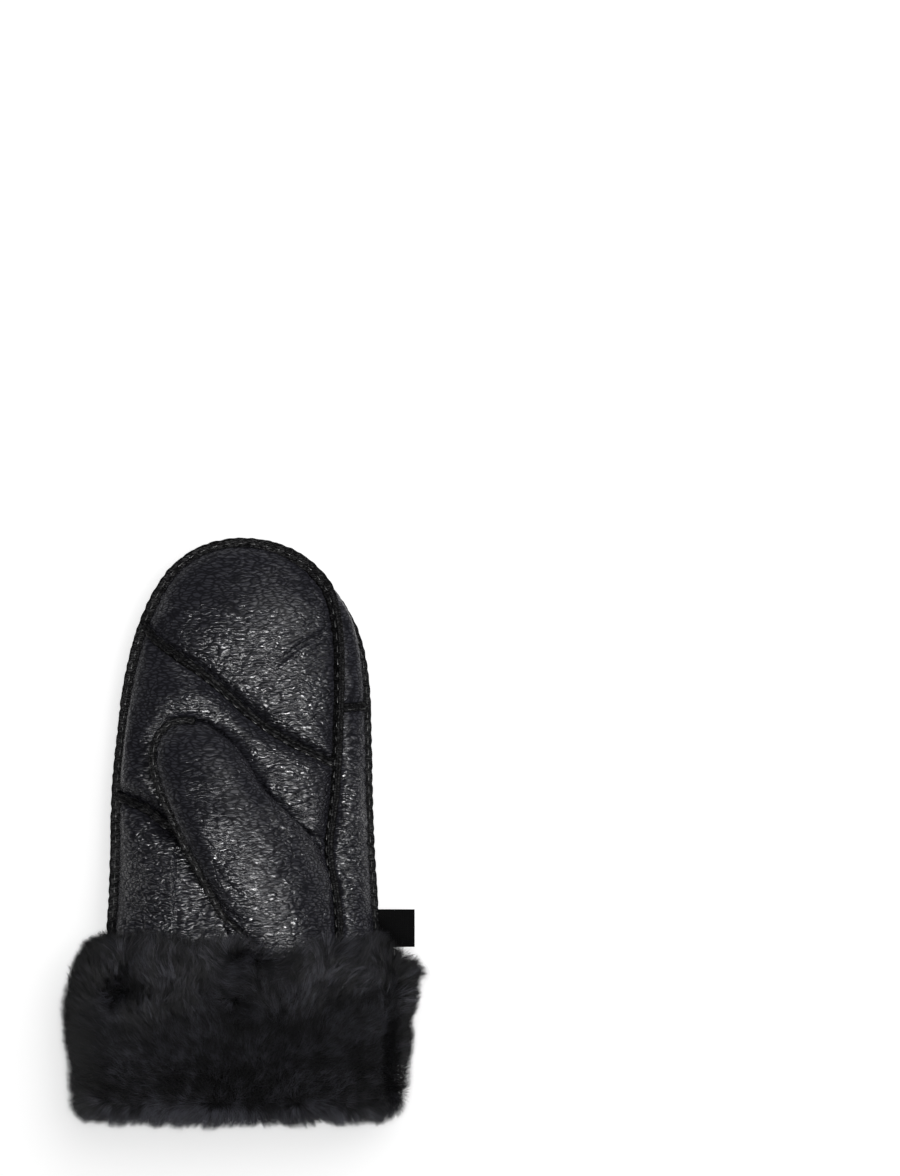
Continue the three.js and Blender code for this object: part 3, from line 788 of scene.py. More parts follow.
# Broad swells of the stuffed hide: x, y, half width, half length and height
SWELLS = (
    (0, 91, 22, 13, 1.7),
    (31, 62, 15, 11, 1.3),
    (-22, 63, 16, 9, 1.2),
    (27, 34, 13, 13, 2.0),
    (-36, -20, 13, 12, 1.5),
)
CREASE_HALF = 0.95  # half width of a crease
GROOVE_HALF = 2.7  # half width of the groove beside a seam
PUFF = 2.2  # rise of the leather between its seams
THUMB_RISE = 2.2  # rise of the palm against the thumb


def place_mask(points, places):
    """1 inside any of the places, fading to 0 outside."""
    mask = np.zeros(points.shape[:-1])
    for x, y, half_width, half_length in places:
        far = np.hypot((points[..., 0] - x) / half_width, (points[..., 1] - y) / half_length)
        mask = np.maximum(mask, 1 - smooth_step(far, 0.6, 1.5))
    return mask


def crumple_of(points):
    """How grained the hide is, from 0 where it is smooth to 1 where it is crumpled."""
    base = 0.55 + 0.25 * lumps(points, (25, 20, 40), 3)
    smooth = place_mask(points, SMOOTH_PLACES)
    crumpled = place_mask(points, CRUMPLED_PLACES)
    return np.clip(base * (1 - 0.55 * smooth) + 0.5 * crumpled, 0.28, 1)


def crease_lines():
    points = []
    depths = []
    for depth, *line in CREASES:
        x, y = curve_through(line, 60)
        points.append(stack(x, y, 0 * x))
        depths.append(depth * np.sin(np.linspace(0.15, PI, 60)) ** 0.6)
    return tree_of(np.concatenate(points)), np.concatenate(depths)


CREASE_TREE, CREASE_DEPTHS = crease_lines()


def gather_lines(names):
    """A tree of seam points with their depths and stitch phases."""
    points = []
    depths = []
    phases = []
    for name in names:
        line, outs = LINES[name]
        points.append(line)
        depths.append(sink(outs))
        phases.append(np.arange(len(line)) * STEP / STITCH % 1)
    return tree_of(np.concatenate(points)), np.concatenate(depths), np.concatenate(phases)


HAND_SEAMS = gather_lines(
    ["outline_seam", "strip_seam", "cross_seam", "diagonal_seam", "side_seam"]
)
THUMB_SEAMS = gather_lines(["outline_seam", "thumb_seam", "strip_seam"])


def thumb_outline():
    """Plan of the thumb's free edge, from the heel round its tip to the cuff."""
    right = np.linspace(0.62, 0.0002, 120)
    left = np.linspace(0.0002, 0.86, 160)
    line = np.concatenate([thumb_point(right, 0 * right), thumb_point(left, 0 * left + PI)])
    line[:, 2] = 0
    return even_line(line, 0.7)[0]


THUMB_EDGE = thumb_outline()
THUMB_EDGE_TREE = tree_of(THUMB_EDGE)


def flattened(points):
    flat = points.copy()
    flat[..., 2] = 0
    return flat


def seam_pull(far, depths, phases):
    """Groove, puff and stitch dimples at a distance from the nearest seam."""
    pull = bell((phases - 0.5) / 0.2)
    groove = -depths * bell(far / GROOVE_HALF)
    puff = PUFF * (1 - bell(far / 15))
    dimple = -0.25 * pull * bell((far - 3.2) / 1.5)
    swell = 0.12 * (1 - pull) * bell((far - 3.0) / 1.3)
    return groove + puff + dimple + swell


def crease_height(points, upper):
    """Each crease with the hide pushed up on both its sides."""
    index, far = nearest(CREASE_TREE, flattened(points))
    depth = CREASE_DEPTHS[index] * upper
    return 0.4 * depth * bell((far - 2.2) / 1.4) - depth * bell(far / CREASE_HALF)


def swell_height(points):
    height = np.zeros(points.shape[:-1])
    for x, y, half_width, half_length, swell in SWELLS:
        across = (points[..., 0] - x) / half_width
        along = (points[..., 1] - y) / half_length
        height = height + swell * np.exp(-(across**2) - along**2)
    return height


def against_thumb(points, far, edge_far):
    """The palm's rise to the thumb, and under it, with the crevice along its edge."""
    under = thumb_plan(points[..., 0], points[..., 1])[2] <= 0
    outside = (THUMB_RISE + 3.0 * (1 - bell(edge_far / 7))) * bell(edge_far / 22)
    inside = THUMB_RISE * bell(edge_far / 4)
    rise = np.where(under, inside, outside) * smooth_step(far, 1, 9)
    from_crotch = points[..., 1] - line_y(CROTCH_LINE, points[..., 0])
    in_crotch = (1 - smooth_step(from_crotch, 0, 9)) * (points[..., 0] > CROTCH_X + 2.5)
    return rise * (1 - in_crotch) - 2.6 * bell(edge_far / 1.2)


def relief(points, normals, seams, along_thumb):
    """The grid with its puffs, grooves, stitch dimples and creases, and how crumpled it is.
    along_thumb: for the thumb's own skin and the heel, which has no edge against itself."""
    tree, depths, phases = seams
    index, far = nearest(tree, points)
    upper = smooth_step(normals[..., 2], 0.1, 0.5)
    crumple = crumple_of(points)
    calm = smooth_step(far, 0.5, 7)
    away = smooth_step(far, 2.5, 6) * upper
    height = seam_pull(far, depths[index], phases[index]) + crease_height(points, upper)
    if along_thumb:
        away = away * smooth_step(normals[..., 2], 0.5, 0.8)
    else:
        _, edge_far = nearest(THUMB_EDGE_TREE, flattened(points))
        calm = calm * smooth_step(edge_far, 0, 7)
        away = away * smooth_step(edge_far, 1, 6)
        height = height + upper * against_thumb(points, far, edge_far)
    height = height + calm * upper * swell_height(points)
    height = height + 0.6 * calm * lumps(points, (19, 13, 22), 1)
    height = height + 0.32 * calm * lumps(points, (9, 5.5, 9), 2) * (0.4 + 0.6 * crumple)
    crumple = crumple * (0.25 + 0.75 * smooth_step(far, 1.6, 4.5))
    fold = bell(lumps(points, (9, 2.8, 9), 4) / 0.11)
    height = height - 0.4 * crumple * away * fold
    return points + normals * height[..., None], crumple


# Panels of leather

FINE = 0.8  # spacing of the skin's points on the palm
BACK_STEP = 1.7  # and on the back of the hand, which lies on the table
THUMB_BACK_STEP = 1.8
HIDE = 1.5  # thickness drawn


def tip_rows(length, step, last):
    """Shares of a length that crowd towards the rounded tip and then stand evenly."""
    turn = 0.1
    count = int(2 * turn * length / step)
    crowded = turn * (np.arange(1, count) / count) ** 2
    even = np.arange(turn, last, step / length)
    return np.concatenate([[1e-5], crowded, even, [last]])


def line_y(points, x):
    """Height up the plan of a seam line over x."""
    p = np.array(points)
    return np.interp(x, p[:, 0] * HALF_WIDTH, TIP_Y - p[:, 1] * HAND_LENGTH)


def heel_x(y):
    p = np.array(HEEL_LINE)
    return np.interp(-y, p[:, 1] * HAND_LENGTH - TIP_Y, p[:, 0] * HALF_WIDTH)


def blend_softness(x, y):
    """How softly the thumb's front runs into the heel: not at all above the crotch."""
    below = line_y(CROTCH_LINE, x) - y
    return 0.2 + 12 * smooth_step(below, -1, 16) * smooth_step(x, -22, 2)


def thicken(made, thickness, offset):
    """Gives a sheet its thickness: all inwards at an offset of -1, both ways at 0."""
    thick = made.modifiers.new("thickness", "SOLIDIFY")
    thick.thickness = thickness * MM
    thick.offset = offset


def hand_grid(rows, angles):
    points = hand_point(rows[:, None], angles[None, :])
    return points, grid_normals(points, False)


def leather_panel(name, *parts):
    """One panel from parts: each is its points, crumple and faces."""
    points = []
    crumples = []
    faces = []
    start = 0
    for part_points, part_crumple, part_faces in parts:
        kept, placed, values = used_only(part_points, part_faces, part_crumple)
        points.append(kept)
        crumples.append(values)
        faces.append(placed + start)
        start += len(kept)
    made = new_mesh(name + "_hide", np.concatenate(points), faces, [LEATHER])
    set_attribute(made, "crumple", np.concatenate(crumples))
    thicken(made, HIDE, -1)
    fit(made, name)


def make_palm():
    """The palm's three panels, both strips and the heel, cut from one skin."""
    cuff_row = (TIP_Y - CUFF_TOP_Y + 8) / HAND_LENGTH
    rows = tip_rows(HAND_LENGTH, FINE, cuff_row)
    rows = np.concatenate([rows, np.linspace(cuff_row, 1, 16)[1:]])
    lowest = -0.62
    angles = even_angles(lambda a: hand_point(0.5, a), lowest, PI, int(140 / FINE))
    points, normals = hand_grid(rows, angles)
    faces = grid_faces(len(rows), len(angles))
    centre = points.reshape(-1, 3)[faces].mean(1)
    at, angle = face_places(rows, angles)
    x, y = centre[:, 0], centre[:, 1]

    heights = thumb_height(points[..., 0], points[..., 1])
    soft = blend_softness(points[..., 0], points[..., 1])
    in_heel = points[..., 0] > heel_x(points[..., 1])
    in_heel &= points[..., 1] < line_y(CROTCH_LINE, points[..., 0]) + 2
    in_heel &= normals[..., 2] > 0.2
    blended = points.copy()
    joined = smooth_max(points[..., 2], heights, soft)
    blended[..., 2] = np.where(in_heel, joined, points[..., 2])
    heel_skin, heel_crumple = relief(blended, grid_normals(blended, False), HAND_SEAMS, True)
    palm_skin, palm_crumple = relief(points, normals, HAND_SEAMS, False)

    front = angle > strip_angle(at)
    seam_angle = palm_angle(read(HAND, "seam", at) * HALF_WIDTH, at)
    strip = front & (angle < seam_angle)
    palm = front & ~strip
    tip = palm & (y > line_y(DIAGONAL_SEAM, x))
    lower_edge = np.where(x < CROTCH_X, line_y(SIDE_SEAM, x), line_y(CROTCH_LINE, x))
    middle = palm & ~tip & (y > lower_edge)
    side = palm & ~tip & ~middle & (x < heel_x(y))
    heel = palm & ~tip & ~middle & ~side
    under = thumb_height(x, y) > centre[:, 2] + 0.5
    upper = strip & (at < CROSS_SEAM_AT)
    lower = strip & ~upper

    skin = (palm_skin.reshape(-1, 3), palm_crumple.ravel())
    for name, mask in (
        ("palm_tip_panel", tip),
        ("palm_middle_panel", middle),
        ("palm_side_panel", side),
        ("side_strip_upper", upper),
        ("side_strip_lower", lower),
    ):
        leather_panel(name, (*skin, faces[mask]))
    return heel_skin.reshape(-1, 3), heel_crumple.ravel(), faces[heel & ~under]


def make_thumb(heel_part):
    """The thumb's front with the heel, and its back on the palm."""
    rows = tip_rows(THUMB_LENGTH, FINE, 0.93)
    angles = even_angles(lambda a: thumb_point(0.4, a), -0.6, PI, int(72 / FINE))
    points = thumb_point(rows[:, None], angles[None, :])
    palm = palm_height(points[..., 0], points[..., 1])
    soft = blend_softness(points[..., 0], points[..., 1])
    joined = smooth_max(points[..., 2], palm, soft)
    on_top = np.broadcast_to(angles[None, :] > 0, palm.shape)
    blended = points.copy()
    blended[..., 2] = np.where(on_top & (soft > 0.5), joined, points[..., 2])
    normals = grid_normals(blended, False)
    skin, crumple = relief(blended, normals, THUMB_SEAMS, True)
    faces = grid_faces(len(rows), len(angles))
    gap = (points[..., 2] - palm).reshape(-1)[faces].mean(1)
    softness = soft.reshape(-1)[faces].mean(1)
    kept = np.where(softness > 0.5, gap > -0.6, gap > -2.5)
    part = (skin.reshape(-1, 3), crumple.ravel(), faces[kept])
    leather_panel("thumb_front_panel", part, heel_part)

    rows = tip_rows(THUMB_LENGTH, THUMB_BACK_STEP, 0.86)
    angles = even_angles(lambda a: thumb_point(0.4, a), PI, 2 * PI - 0.6, 30)
    points = thumb_point(rows[:, None], angles[None, :])
    palm = palm_height(points[..., 0], points[..., 1])
    normals = grid_normals(points, False)
    skin, crumple = relief(points, normals, THUMB_SEAMS, True)
    faces = grid_faces(len(rows), len(angles))
    gap = (points[..., 2] - palm).reshape(-1)[faces].mean(1)
    leather_panel("thumb_back_panel", (skin.reshape(-1, 3), crumple.ravel(), faces[gap > 0.3]))


def make_back():
    rows = np.concatenate([tip_rows(HAND_LENGTH, BACK_STEP, 0.9), np.linspace(0.9, 1, 6)[1:]])
    angles = even_angles(lambda a: hand_point(0.5, a), PI, 2 * PI + 0.45, 84)
    points, normals = hand_grid(rows, angles)
    skin, crumple = relief(points, normals, HAND_SEAMS, True)
    skin[..., 2] = np.maximum(skin[..., 2], 0.1)
    faces = grid_faces(len(rows), len(angles))
    at, angle = face_places(rows, angles)
    kept = angle < 2 * PI + strip_angle(at)
    leather_panel("back_panel", (skin.reshape(-1, 3), crumple.ravel(), faces[kept]))


# Seams

# Section of the two hide edges, sewn face out: share of the width, share of the height,
# and how much a stitch pulls it in
SEAM_PROFILE = np.array(
    [
        (-0.62, -0.2, 0.0),
        (-0.56, 0.1, 0.3),
        (-0.5, 0.42, 1.0),
        (-0.52, 0.72, 0.5),
        (-0.46, 0.92, 0.2),
        (-0.3, 1.0, 0.15),
        (-0.14, 0.95, 0.1),
        (0.0, 0.68, 0.0),
        (0.14, 0.95, 0.1),
        (0.3, 1.0, 0.15),
        (0.46, 0.92, 0.2),
        (0.52, 0.72, 0.5),
        (0.5, 0.42, 1.0),
        (0.56, 0.1, 0.3),
        (0.62, -0.2, 0.0),
    ]
)
THREAD_RADIUS = 0.3


def seam_frame(points, outs):
    """Directions aside from a seam and out of the hide, square to its run."""
    along = unit(np.gradient(points, axis=0))
    aside = unit(np.cross(along, outs))
    return aside, unit(np.cross(aside, along))


def ridge(points, outs, depth, stand, seed):
    """The upright edges of a seam: two lips with a groove between them, drawn in by each
    stitch."""
    aside, out = seam_frame(points, outs)
    base = points - outs * depth[:, None]
    phase = np.arange(len(points)) * STEP / STITCH % 1
    pull = bell((phase - 0.5) / 0.22)[:, None]
    waver = lumps(points, (7, 7, 7), seed)[:, None]
    tremble = lumps(points, (2.2, 2.2, 2.2), seed + 1)[:, None]
    w = SEAM_PROFILE[:, 0] * SEAM_WIDTH * (1.06 + 0.1 * waver)
    w = w * (1 - 0.18 * pull * SEAM_PROFILE[:, 2])
    w = w + 0.3 * waver
    stand = stand * (1 - 0.28 * smooth_step(out[:, 2:], 0.3, 0.9))
    h = SEAM_PROFILE[:, 1] * stand * (1 + 0.07 * tremble)
    h = h - 0.25 * pull * smooth_step(SEAM_PROFILE[:, 1], 0.5, 1)
    rings = base[:, None] + aside[:, None] * w[..., None] + out[:, None] * h[..., None]
    sides = SEAM_PROFILE.shape[0]
    faces = [grid_faces(len(points), sides, True)]
    ends = np.arange(sides)
    caps = [ends[::-1][None, :], (ends + (len(points) - 1) * sides)[None, :]]
    return rings.reshape(-1, 3), faces + caps


def stitches(points, outs, depth, side, height):
    """Thread between the stitch holes on one side of a seam."""
    aside, out = seam_frame(points, outs)
    base = points - outs * depth[:, None]
    run = np.arange(len(points)) * STEP
    dash = STITCH - 1.6
    rings = 7
    sides = 6
    centres = np.arange(STITCH, run[-1] - STITCH / 2, STITCH)
    t = np.linspace(-1, 1, rings)
    at = centres[:, None] + t[None, :] * dash / 2

    def sample(values):
        columns = [np.interp(at, run, values[:, k]) for k in range(3)]
        return np.stack(columns, -1)

    middle = sample(base)
    away = unit(sample(aside)) * side
    up = unit(sample(out))
    bow = np.sqrt(1 - 0.9 * t * t)[None, :, None]
    reach = SEAM_WIDTH / 2 * (0.55 + 0.62 * bow)
    middle = middle + away * reach + up * height
    thick = THREAD_RADIUS * np.sqrt(np.maximum(1 - t**6, 0.05))[None, :, None, None]
    turn = np.linspace(0, 2 * PI, sides, endpoint=False)
    ring = away[:, :, None] * np.cos(turn)[:, None] + up[:, :, None] * np.sin(turn)[:, None]
    tube = middle[:, :, None] + ring * thick
    faces = grid_faces(rings, sides, True)[:, ::-side]
    count = len(centres)
    offsets = np.arange(count)[:, None, None] * rings * sides
    return tube.reshape(-1, 3), (faces[None] + offsets).reshape(-1, 4)


def make_seam(name, stand, seed):
    points, outs = LINES[name]
    depth = sink(outs)
    rings, faces = ridge(points, outs, depth, stand, seed)
    materials = [np.zeros(len(f)) for f in faces]
    everything = [rings]
    start = len(rings)
    for side in (-1, 1):
        thread, thread_faces = stitches(points, outs, depth, side, 0.42 * stand)
        everything.append(thread)
        faces.append(thread_faces + start)
        materials.append(np.ones(len(thread_faces)))
        start += len(thread)
    made = new_mesh(
        name + "_edges",
        np.concatenate(everything),
        faces,
        [SEAM_LEATHER, THREAD],
        face_materials=np.concatenate(materials),
    )
    set_attribute(made, "crumple", np.full(start, 0.6))
    fit(made, name)


def make_seams():
    """The outline stands highest, and the short seam across the strip is nearly flat."""
    stands = {"outline_seam": SEAM_STAND + 1, "cross_seam": SEAM_STAND - 1.3}
    for number, name in enumerate(LINES):
        make_seam(name, stands.get(name, SEAM_STAND), 10 * number + 11)


# Wool

PILE = 8.5  # length of the cuff's wool
LINING_PILE = 6.0
LINING_STRANDS = 16000
# Bands of the cuff: name, strands, lowest and highest y, and strands in a lock
BANDS = (
    ("cuff_wool_upper", 62000, -90, -30, 18),
    ("cuff_wool_middle", 58000, -112, -68, 14),
    ("cuff_wool_rim", 58000, -140, -100, 38),
)
UPPER_SIDE = 24  # a height between the cuff's under side and its upper one
PARTING_X = 66.5  # the pile parts along the strip's seam
PIT = (-51, -67)  # a hollow in the pile, longer than wide
TUFT = (72, -58)  # a tuft that stands out at the right
SHORN = (-74, -48)  # the shorter pile at the left corner


def spot(points, place, size, long=1.0):
    """1 at a place of the plan, fading with the distance from it."""
    x = points[..., 0] - place[0]
    y = (points[..., 1] - place[1]) / long
    return bell(np.hypot(x, y) / size)


def cuff_core():
    """Undercoat of the turned cuff: from its upper edge on the leather, over the outside,
    round the lower rim and back to the mouth. Rows of rings."""
    angles = even_angles(lambda a: cuff_point(0.5, a, 6.0), 0, 2 * PI, 161)[:-1]
    start = (TIP_Y - CUFF_TOP_Y + 3) / HAND_LENGTH
    rings = [hand_point(start, angles, -0.6)]
    pressed = 3 * smooth_step(-np.sin(angles), 0.1, 0.6)
    inset = 7.5 - pressed - 0.9 * smooth_step(np.abs(np.cos(angles)), 0.6, 0.95)
    turn_at = 0.865
    for at in np.concatenate([[0.05, 0.07, 0.1, 0.14], np.linspace(0.18, turn_at, 22)]):
        rings.append(cuff_point(at, angles, inset))
    outer = cuff_point(turn_at, angles, 7.8 - pressed)
    inner = hand_point(1.0, angles, SKIN + LINING)
    for t in np.linspace(0.12, 1, 8):
        turn = t * PI
        ring = outer + (inner - outer) * (1 - np.cos(turn)) / 2
        ring[:, 1] = outer[:, 1] - 2.5 * np.sin(turn) + (inner[:, 1] + 6 - outer[:, 1]) * t
        rings.append(ring)
    grid = np.stack(rings)
    normals = grid_normals(grid, True)
    facing = smooth_step(normals[..., 2], 0.3, 0.8)
    valley = bell((grid[..., 0] - PARTING_X) / 2.2) * facing
    soft = 1.6 * lumps(grid, (26, 20, 26), 71) - 4.5 * valley
    pit = spot(grid, PIT, 5.5, 1.4) * (grid[..., 2] > UPPER_SIDE)
    grid = grid + normals * (soft - 7 * pit)[..., None]
    grid[..., 2] = np.maximum(grid[..., 2], 2.5)
    return grid, grid_normals(grid, True)


def lining_core():
    """Undercoat inside the mouth, its face towards the hand."""
    angles = even_angles(lambda a: hand_point(0.9, a), 0, 2 * PI, 121)[:-1]
    rows = np.linspace(1.0, 0.78, 12)
    rings = [hand_point(at, angles, SKIN + 3.0) for at in rows]
    grid = np.stack(rings)
    return grid, grid_normals(grid, True)


def scatter(grid, normals, count, weight, rng):
    """Roots spread over a closed grid of rings by area times weight."""
    p = np.concatenate([grid, grid[:, :1]], 1)
    n = np.concatenate([normals, normals[:, :1]], 1)
    a, b, c, d = p[:-1, :-1], p[:-1, 1:], p[1:, 1:], p[1:, :-1]
    area = np.linalg.norm(np.cross(c - a, d - b), axis=-1) / 2
    centre = (a + b + c + d) / 4
    share = (area * weight(centre)).ravel()
    cell = rng.choice(len(share), count, p=share / share.sum())
    i, j = np.divmod(cell, area.shape[1])
    u = rng.random(count)[:, None]
    v = rng.random(count)[:, None]

    def mix(values):
        top = values[i, j] * (1 - u) + values[i, j + 1] * u
        low = values[i + 1, j] * (1 - u) + values[i + 1, j + 1] * u
        return top * (1 - v) + low * v

    return mix(p), unit(mix(n))


def grow(name, roots, normals, comb, length, lay, rng, width, clumping, clump_share):
    """Tapered strands from their roots. comb: the way each lies. lay: how flat, 0 to 1."""
    count = len(roots)
    chosen = rng.choice(count, max(count // clump_share, 8), replace=False)
    index, _ = nearest(tree_of(roots[chosen]), roots)
    leader = chosen[index]
    lay = lay[:, None]
    length = (length * (0.86 + 0.28 * rng.random(count)))[:, None]
    jitter = rng.normal(0, 1, (count, 3))
    first = unit(normals * (1 - 0.55 * lay) + comb * 0.75 * lay + 0.16 * jitter)
    second = unit(normals * (1 - lay) * 0.8 + comb * (0.25 + lay) + 0.2 * jitter)
    knee = roots + first * length * 0.45
    tip = knee + second * length * 0.6
    length = length * (0.85 + 0.3 * rng.random(count)[leader])[:, None]
    pull = (clumping * (0.5 + 0.8 * rng.random(count)[leader]))[:, None]
    pull = pull * (rng.random(count) > 0.12)[:, None]
    tip = tip + (tip[leader] - tip) * np.clip(pull, 0, 0.92)
    knee = knee + (knee[leader] - knee) * np.clip(pull * 0.4, 0, 0.6)
    spin = rng.normal(0, 0.6, count)[:, None]

    def across(direction):
        outward = unit(normals - direction * (normals * direction).sum(-1)[:, None])
        sideways = np.cross(direction, outward)
        return unit(sideways * np.cos(spin) + outward * np.sin(spin))

    low = across(first) * width[:, None]
    high = across(unit(tip - knee)) * width[:, None] * 0.85
    points = np.stack([roots - low / 2, roots + low / 2, knee + high / 2, knee - high / 2, tip], 1)
    points[..., 2] = np.maximum(points[..., 2], 0.15 + 1.2 * rng.random(count)[:, None])
    base = (np.arange(count) * 5)[:, None]
    quads = base + np.array([0, 1, 2, 3])
    tips = base + np.array([3, 2, 4])
    made = new_mesh(name, points.reshape(-1, 3), [quads, tips], [FIBRE], smooth=False)
    shade = (1.1 * rng.random(count)[leader] ** 3 + 0.25 * rng.random(count))[:, None] - 0.15
    # painted shade and highlight: each strand's colour runs from dark at the root to light at the tip
    reach = np.array([0.0, 0.0, 0.25, 0.25, 0.45])[None, :] + shade * np.array([0, 0, 1, 1, 1])
    # random patches of tone, with the lower rim painted lighter as painted light and the left side
    # painted darker as painted shade
    patches_and_painted_light = 1.0 + 0.7 * lumps(roots, (18, 12, 18), 86)
    patches_and_painted_light = patches_and_painted_light + (1 - smooth_step(roots[:, 1], -122, -108)) * (0.6 + patches_and_painted_light)
    patches_and_painted_light = patches_and_painted_light * (0.35 + 0.65 * smooth_step(roots[:, 0], -70, -46))
    # painted shade: strands rooted where the undercoat faces aside or down are darker than those
    # facing up
    reach = reach * patches_and_painted_light[:, None] * (0.4 + 0.6 * smooth_step(normals[:, 2:], 0.1, 0.95))
    set_attribute(made, "reach", reach)
    return made


def cuff_comb(roots, normals):
    """The way the cuff's pile is brushed, and how flat it lies."""
    x, y = roots[:, 0], roots[:, 1]
    pit = spot(roots, PIT, 6.5, 1.4)
    tuft = spot(roots, TUFT, 9)
    sway = lumps(roots, (24, 22, 24), 81)
    swirl = lumps(roots, (11, 10, 15), 82)
    edge = y + 10 * lumps(roots, (42, 30, 60), 84)
    upper = smooth_step(edge, -94, -60)
    lower = 1 - smooth_step(y, -126, -110)
    side = np.clip(x / 78, -1, 1)
    comb_x = side * (0.25 + 0.3 * upper + 0.3 * lower)
    comb_x = comb_x + swirl * (0.12 + 1.4 * upper + 0.8 * lower)
    comb_y = 0.15 + 0.6 * upper - 1.0 * lower + 1.2 * sway * upper
    comb_y = comb_y + 0.9 * lumps(roots, (9, 9, 12), 85) * (upper + 0.5 * lower)
    comb_x = comb_x + 1.1 * smooth_step(x, PARTING_X - 0.5, PARTING_X + 1.5)
    comb_x = comb_x - 0.8 * bell((x - PARTING_X + 3.5) / 3.5)
    comb_x = comb_x * (1 - pit) + 0.24 * (x - PIT[0]) * pit + 0.5 * tuft
    comb_y = comb_y * (1 - pit) + 0.24 * (y - PIT[1]) * pit + 1.1 * tuft
    comb = stack(comb_x, comb_y, 0.05 + 0 * x)
    comb = comb - normals * (comb * normals).sum(-1)[:, None]
    lay = 0.3 + 0.27 * np.linalg.norm(comb, axis=-1) ** 1.5
    return unit(comb + 1e-6), np.clip(lay, 0.12, 0.85)


def front_weight(centre):
    """More strands where the pile is seen, fewer where it is pressed on the table."""
    return 0.45 + 0.75 * smooth_step(centre[..., 2], 6, 26)


def grow_cuff(grid, normals):
    rng = np.random.default_rng(5)
    for name, count, low, high, lock in BANDS:

        def weight(centre):
            inside = smooth_step(centre[..., 1], low, low + 22)
            inside = inside * (1 - smooth_step(centre[..., 1], high - 22, high))
            return front_weight(centre) * inside

        roots, out = scatter(grid, normals, count, weight, rng)
        comb, lay = cuff_comb(roots, out)
        edge = smooth_step(roots[:, 1], -58, -48)
        rim = 1 - smooth_step(roots[:, 1], -124, -114)
        corners = 4.5 * (spot(roots, TUFT, 9) - spot(roots, SHORN, 9))
        length = PILE + 2.0 * edge - 1.2 * rim + corners
        length = length + 1.2 * lumps(roots, (10, 10, 10), 83)
        width = 0.11 + 0.05 * rng.random(count)
        clumping = 0.2 + 0.65 * smooth_step(lay, 0.34, 0.55) + 0.7 * rim
        made = grow(name, roots, out, comb, length, lay, rng, width, clumping, lock)
        fit(made, "cuff_wool")


def grow_lining(grid, normals):
    rng = np.random.default_rng(9)
    count = LINING_STRANDS
    roots, out = scatter(grid, normals, count, lambda c: 1 + 0 * c[..., 0], rng)
    comb = np.tile(np.array([0.0, -1.0, 0.0]), (count, 1))
    lay = np.full(count, 0.4)
    width = 0.2 + 0.08 * rng.random(count)
    length = np.full(count, LINING_PILE)
    made = grow("lining_wool", roots, out, comb, length, lay, rng, width, 0.5, 40)
    fit(made, "wool_lining")


def make_wool():
    """Each undercoat and the strands that grow on it."""
    for name, node, core, grow_on in (
        ("cuff_undercoat", "cuff_wool", cuff_core, grow_cuff),
        ("lining_undercoat", "wool_lining", lining_core, grow_lining),
    ):
        grid, normals = core()
        faces = grid_faces(*grid.shape[:2], True)
        fit(new_mesh(name, grid.reshape(-1, 3), [faces], [FELT]), node)
        grow_on(grid, normals)


# Label


def make_label():
    """A bare woven tape, folded in two with its ends in the strip's seam."""
    low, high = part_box("label_tab")
    low = np.array(low) / MM
    high = np.array(high) / MM
    half = (high[2] - low[2]) / 2
    middle = (high[2] + low[2]) / 2
    reach = high[0] - half
    layer = 0.5
    turns = np.linspace(-PI / 2, PI / 2, 13)
    xs = np.linspace(low[0] - 1.5, reach, 20)
    radius = half - layer / 2
    side_x = np.concatenate([xs, reach + radius * np.cos(turns[1:-1]), xs[::-1]])
    side_z = np.concatenate([0 * xs - radius, radius * np.sin(turns[1:-1]), 0 * xs + radius])
    ys = np.linspace(low[1], high[1], 20)
    x = np.tile(side_x, (len(ys), 1))
    z = np.tile(side_z + middle, (len(ys), 1))
    y = np.repeat(ys[:, None], len(side_x), 1)
    curl = 0.5 * ((x - low[0]) / 14) ** 2 * ((y - ys.mean()) / 8)
    points = stack(x, y, z + curl)
    faces = grid_faces(len(ys), len(side_x))
    made = new_mesh("label_tape", points.reshape(-1, 3), [faces], [TAPE])
    thicken(made, layer, 0)
    fit(made, "label_tab")


# Studio


AIM = (0.0, 0.0, 0.03)
FLOOR_SIZE = 4.0
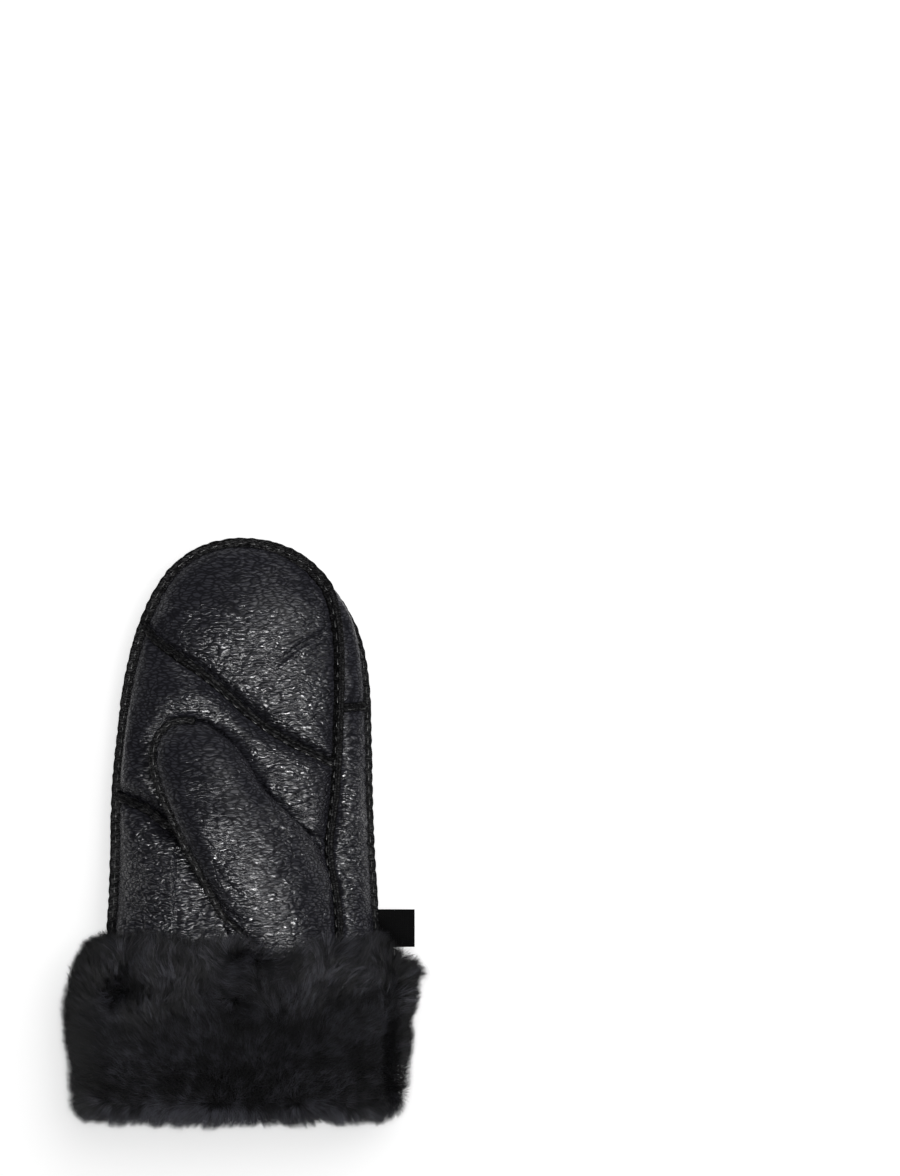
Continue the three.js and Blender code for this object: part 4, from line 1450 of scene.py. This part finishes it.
# Lights: name, place and size in metres, and watts
LIGHTS = (
    ("key_strip", (0.0, -0.52, 1.27), (1.3, 0.1), 47),
    ("front_fill", (0.1, -1.3, 0.5), (1.2, 0.5), 4),
    ("top_softbox", (0.5, 0.65, 1.5), (1.3, 1.3), 24),
)


def area_light(name, place, size, power):
    data = bpy.data.lights.new(name, "AREA")
    data.shape = "RECTANGLE"
    data.size, data.size_y = size
    data.energy = power
    made = bpy.data.objects.new(name, data)
    made.location = place
    made.rotation_euler = (Vector(AIM) - Vector(place)).to_track_quat("-Z", "Y").to_euler()
    bpy.context.scene.collection.objects.link(made)
    return made


def make_studio():
    """White paper under a dim sky that is lighter low down, and three lights. The strip only
    glints on the hide, so it casts no shadow on the paper."""
    corners = np.array([(-1, -1), (1, -1), (1, 1), (-1, 1)]) * FLOOR_SIZE / MM
    points = stack(corners[:, 0], corners[:, 1], np.full(4, -0.05))
    floor = new_mesh("floor", points, [np.array([[0, 1, 2, 3]])], [studio_paper()])

    world = bpy.data.worlds.new("studio")
    bpy.context.scene.world = world
    world.use_nodes = True
    tree = world.node_tree
    tree.nodes.clear()
    place = add(tree, "TexCoord").outputs["Generated"]
    height = add(tree, "SeparateXYZ", links={"Vector": place}).outputs["Z"]
    sky = add(tree, "ValToRGB", links={"Fac": height})
    colour_steps(
        sky,
        (0.0, "#b4b4b4"),
        (0.1, "#6c6c6c"),
        (0.3, "#343434"),
        (0.75, "#343434"),
        (0.93, "#545454"),
        (1.0, "#606060"),
    )
    back = add(tree, "Background", links={"Color": sky})
    add(tree, "OutputWorld", links={"Surface": back})

    lights = [area_light(*light) for light in LIGHTS]
    lights[0].visible_diffuse = False


def make_camera():
    data = bpy.data.cameras.new("camera")
    data.lens = VIEW_LENS
    data.sensor_width = SENSOR
    data.clip_start = 0.01
    data.clip_end = 50
    camera = bpy.data.objects.new("camera", data)
    away = VIEW_HEIGHT * VIEW_LENS / SENSOR
    camera.location = [v * MM for v in (*LOOK_AT, away + WIDEST_Z)]
    bpy.context.scene.collection.objects.link(camera)
    bpy.context.scene.camera = camera


make_camera()
make_studio()
make_thumb(make_palm())
make_back()
make_seams()
make_wool()
make_label()

scene = bpy.context.scene
scene.view_settings.view_transform = "Standard"
scene.view_settings.look = "None"
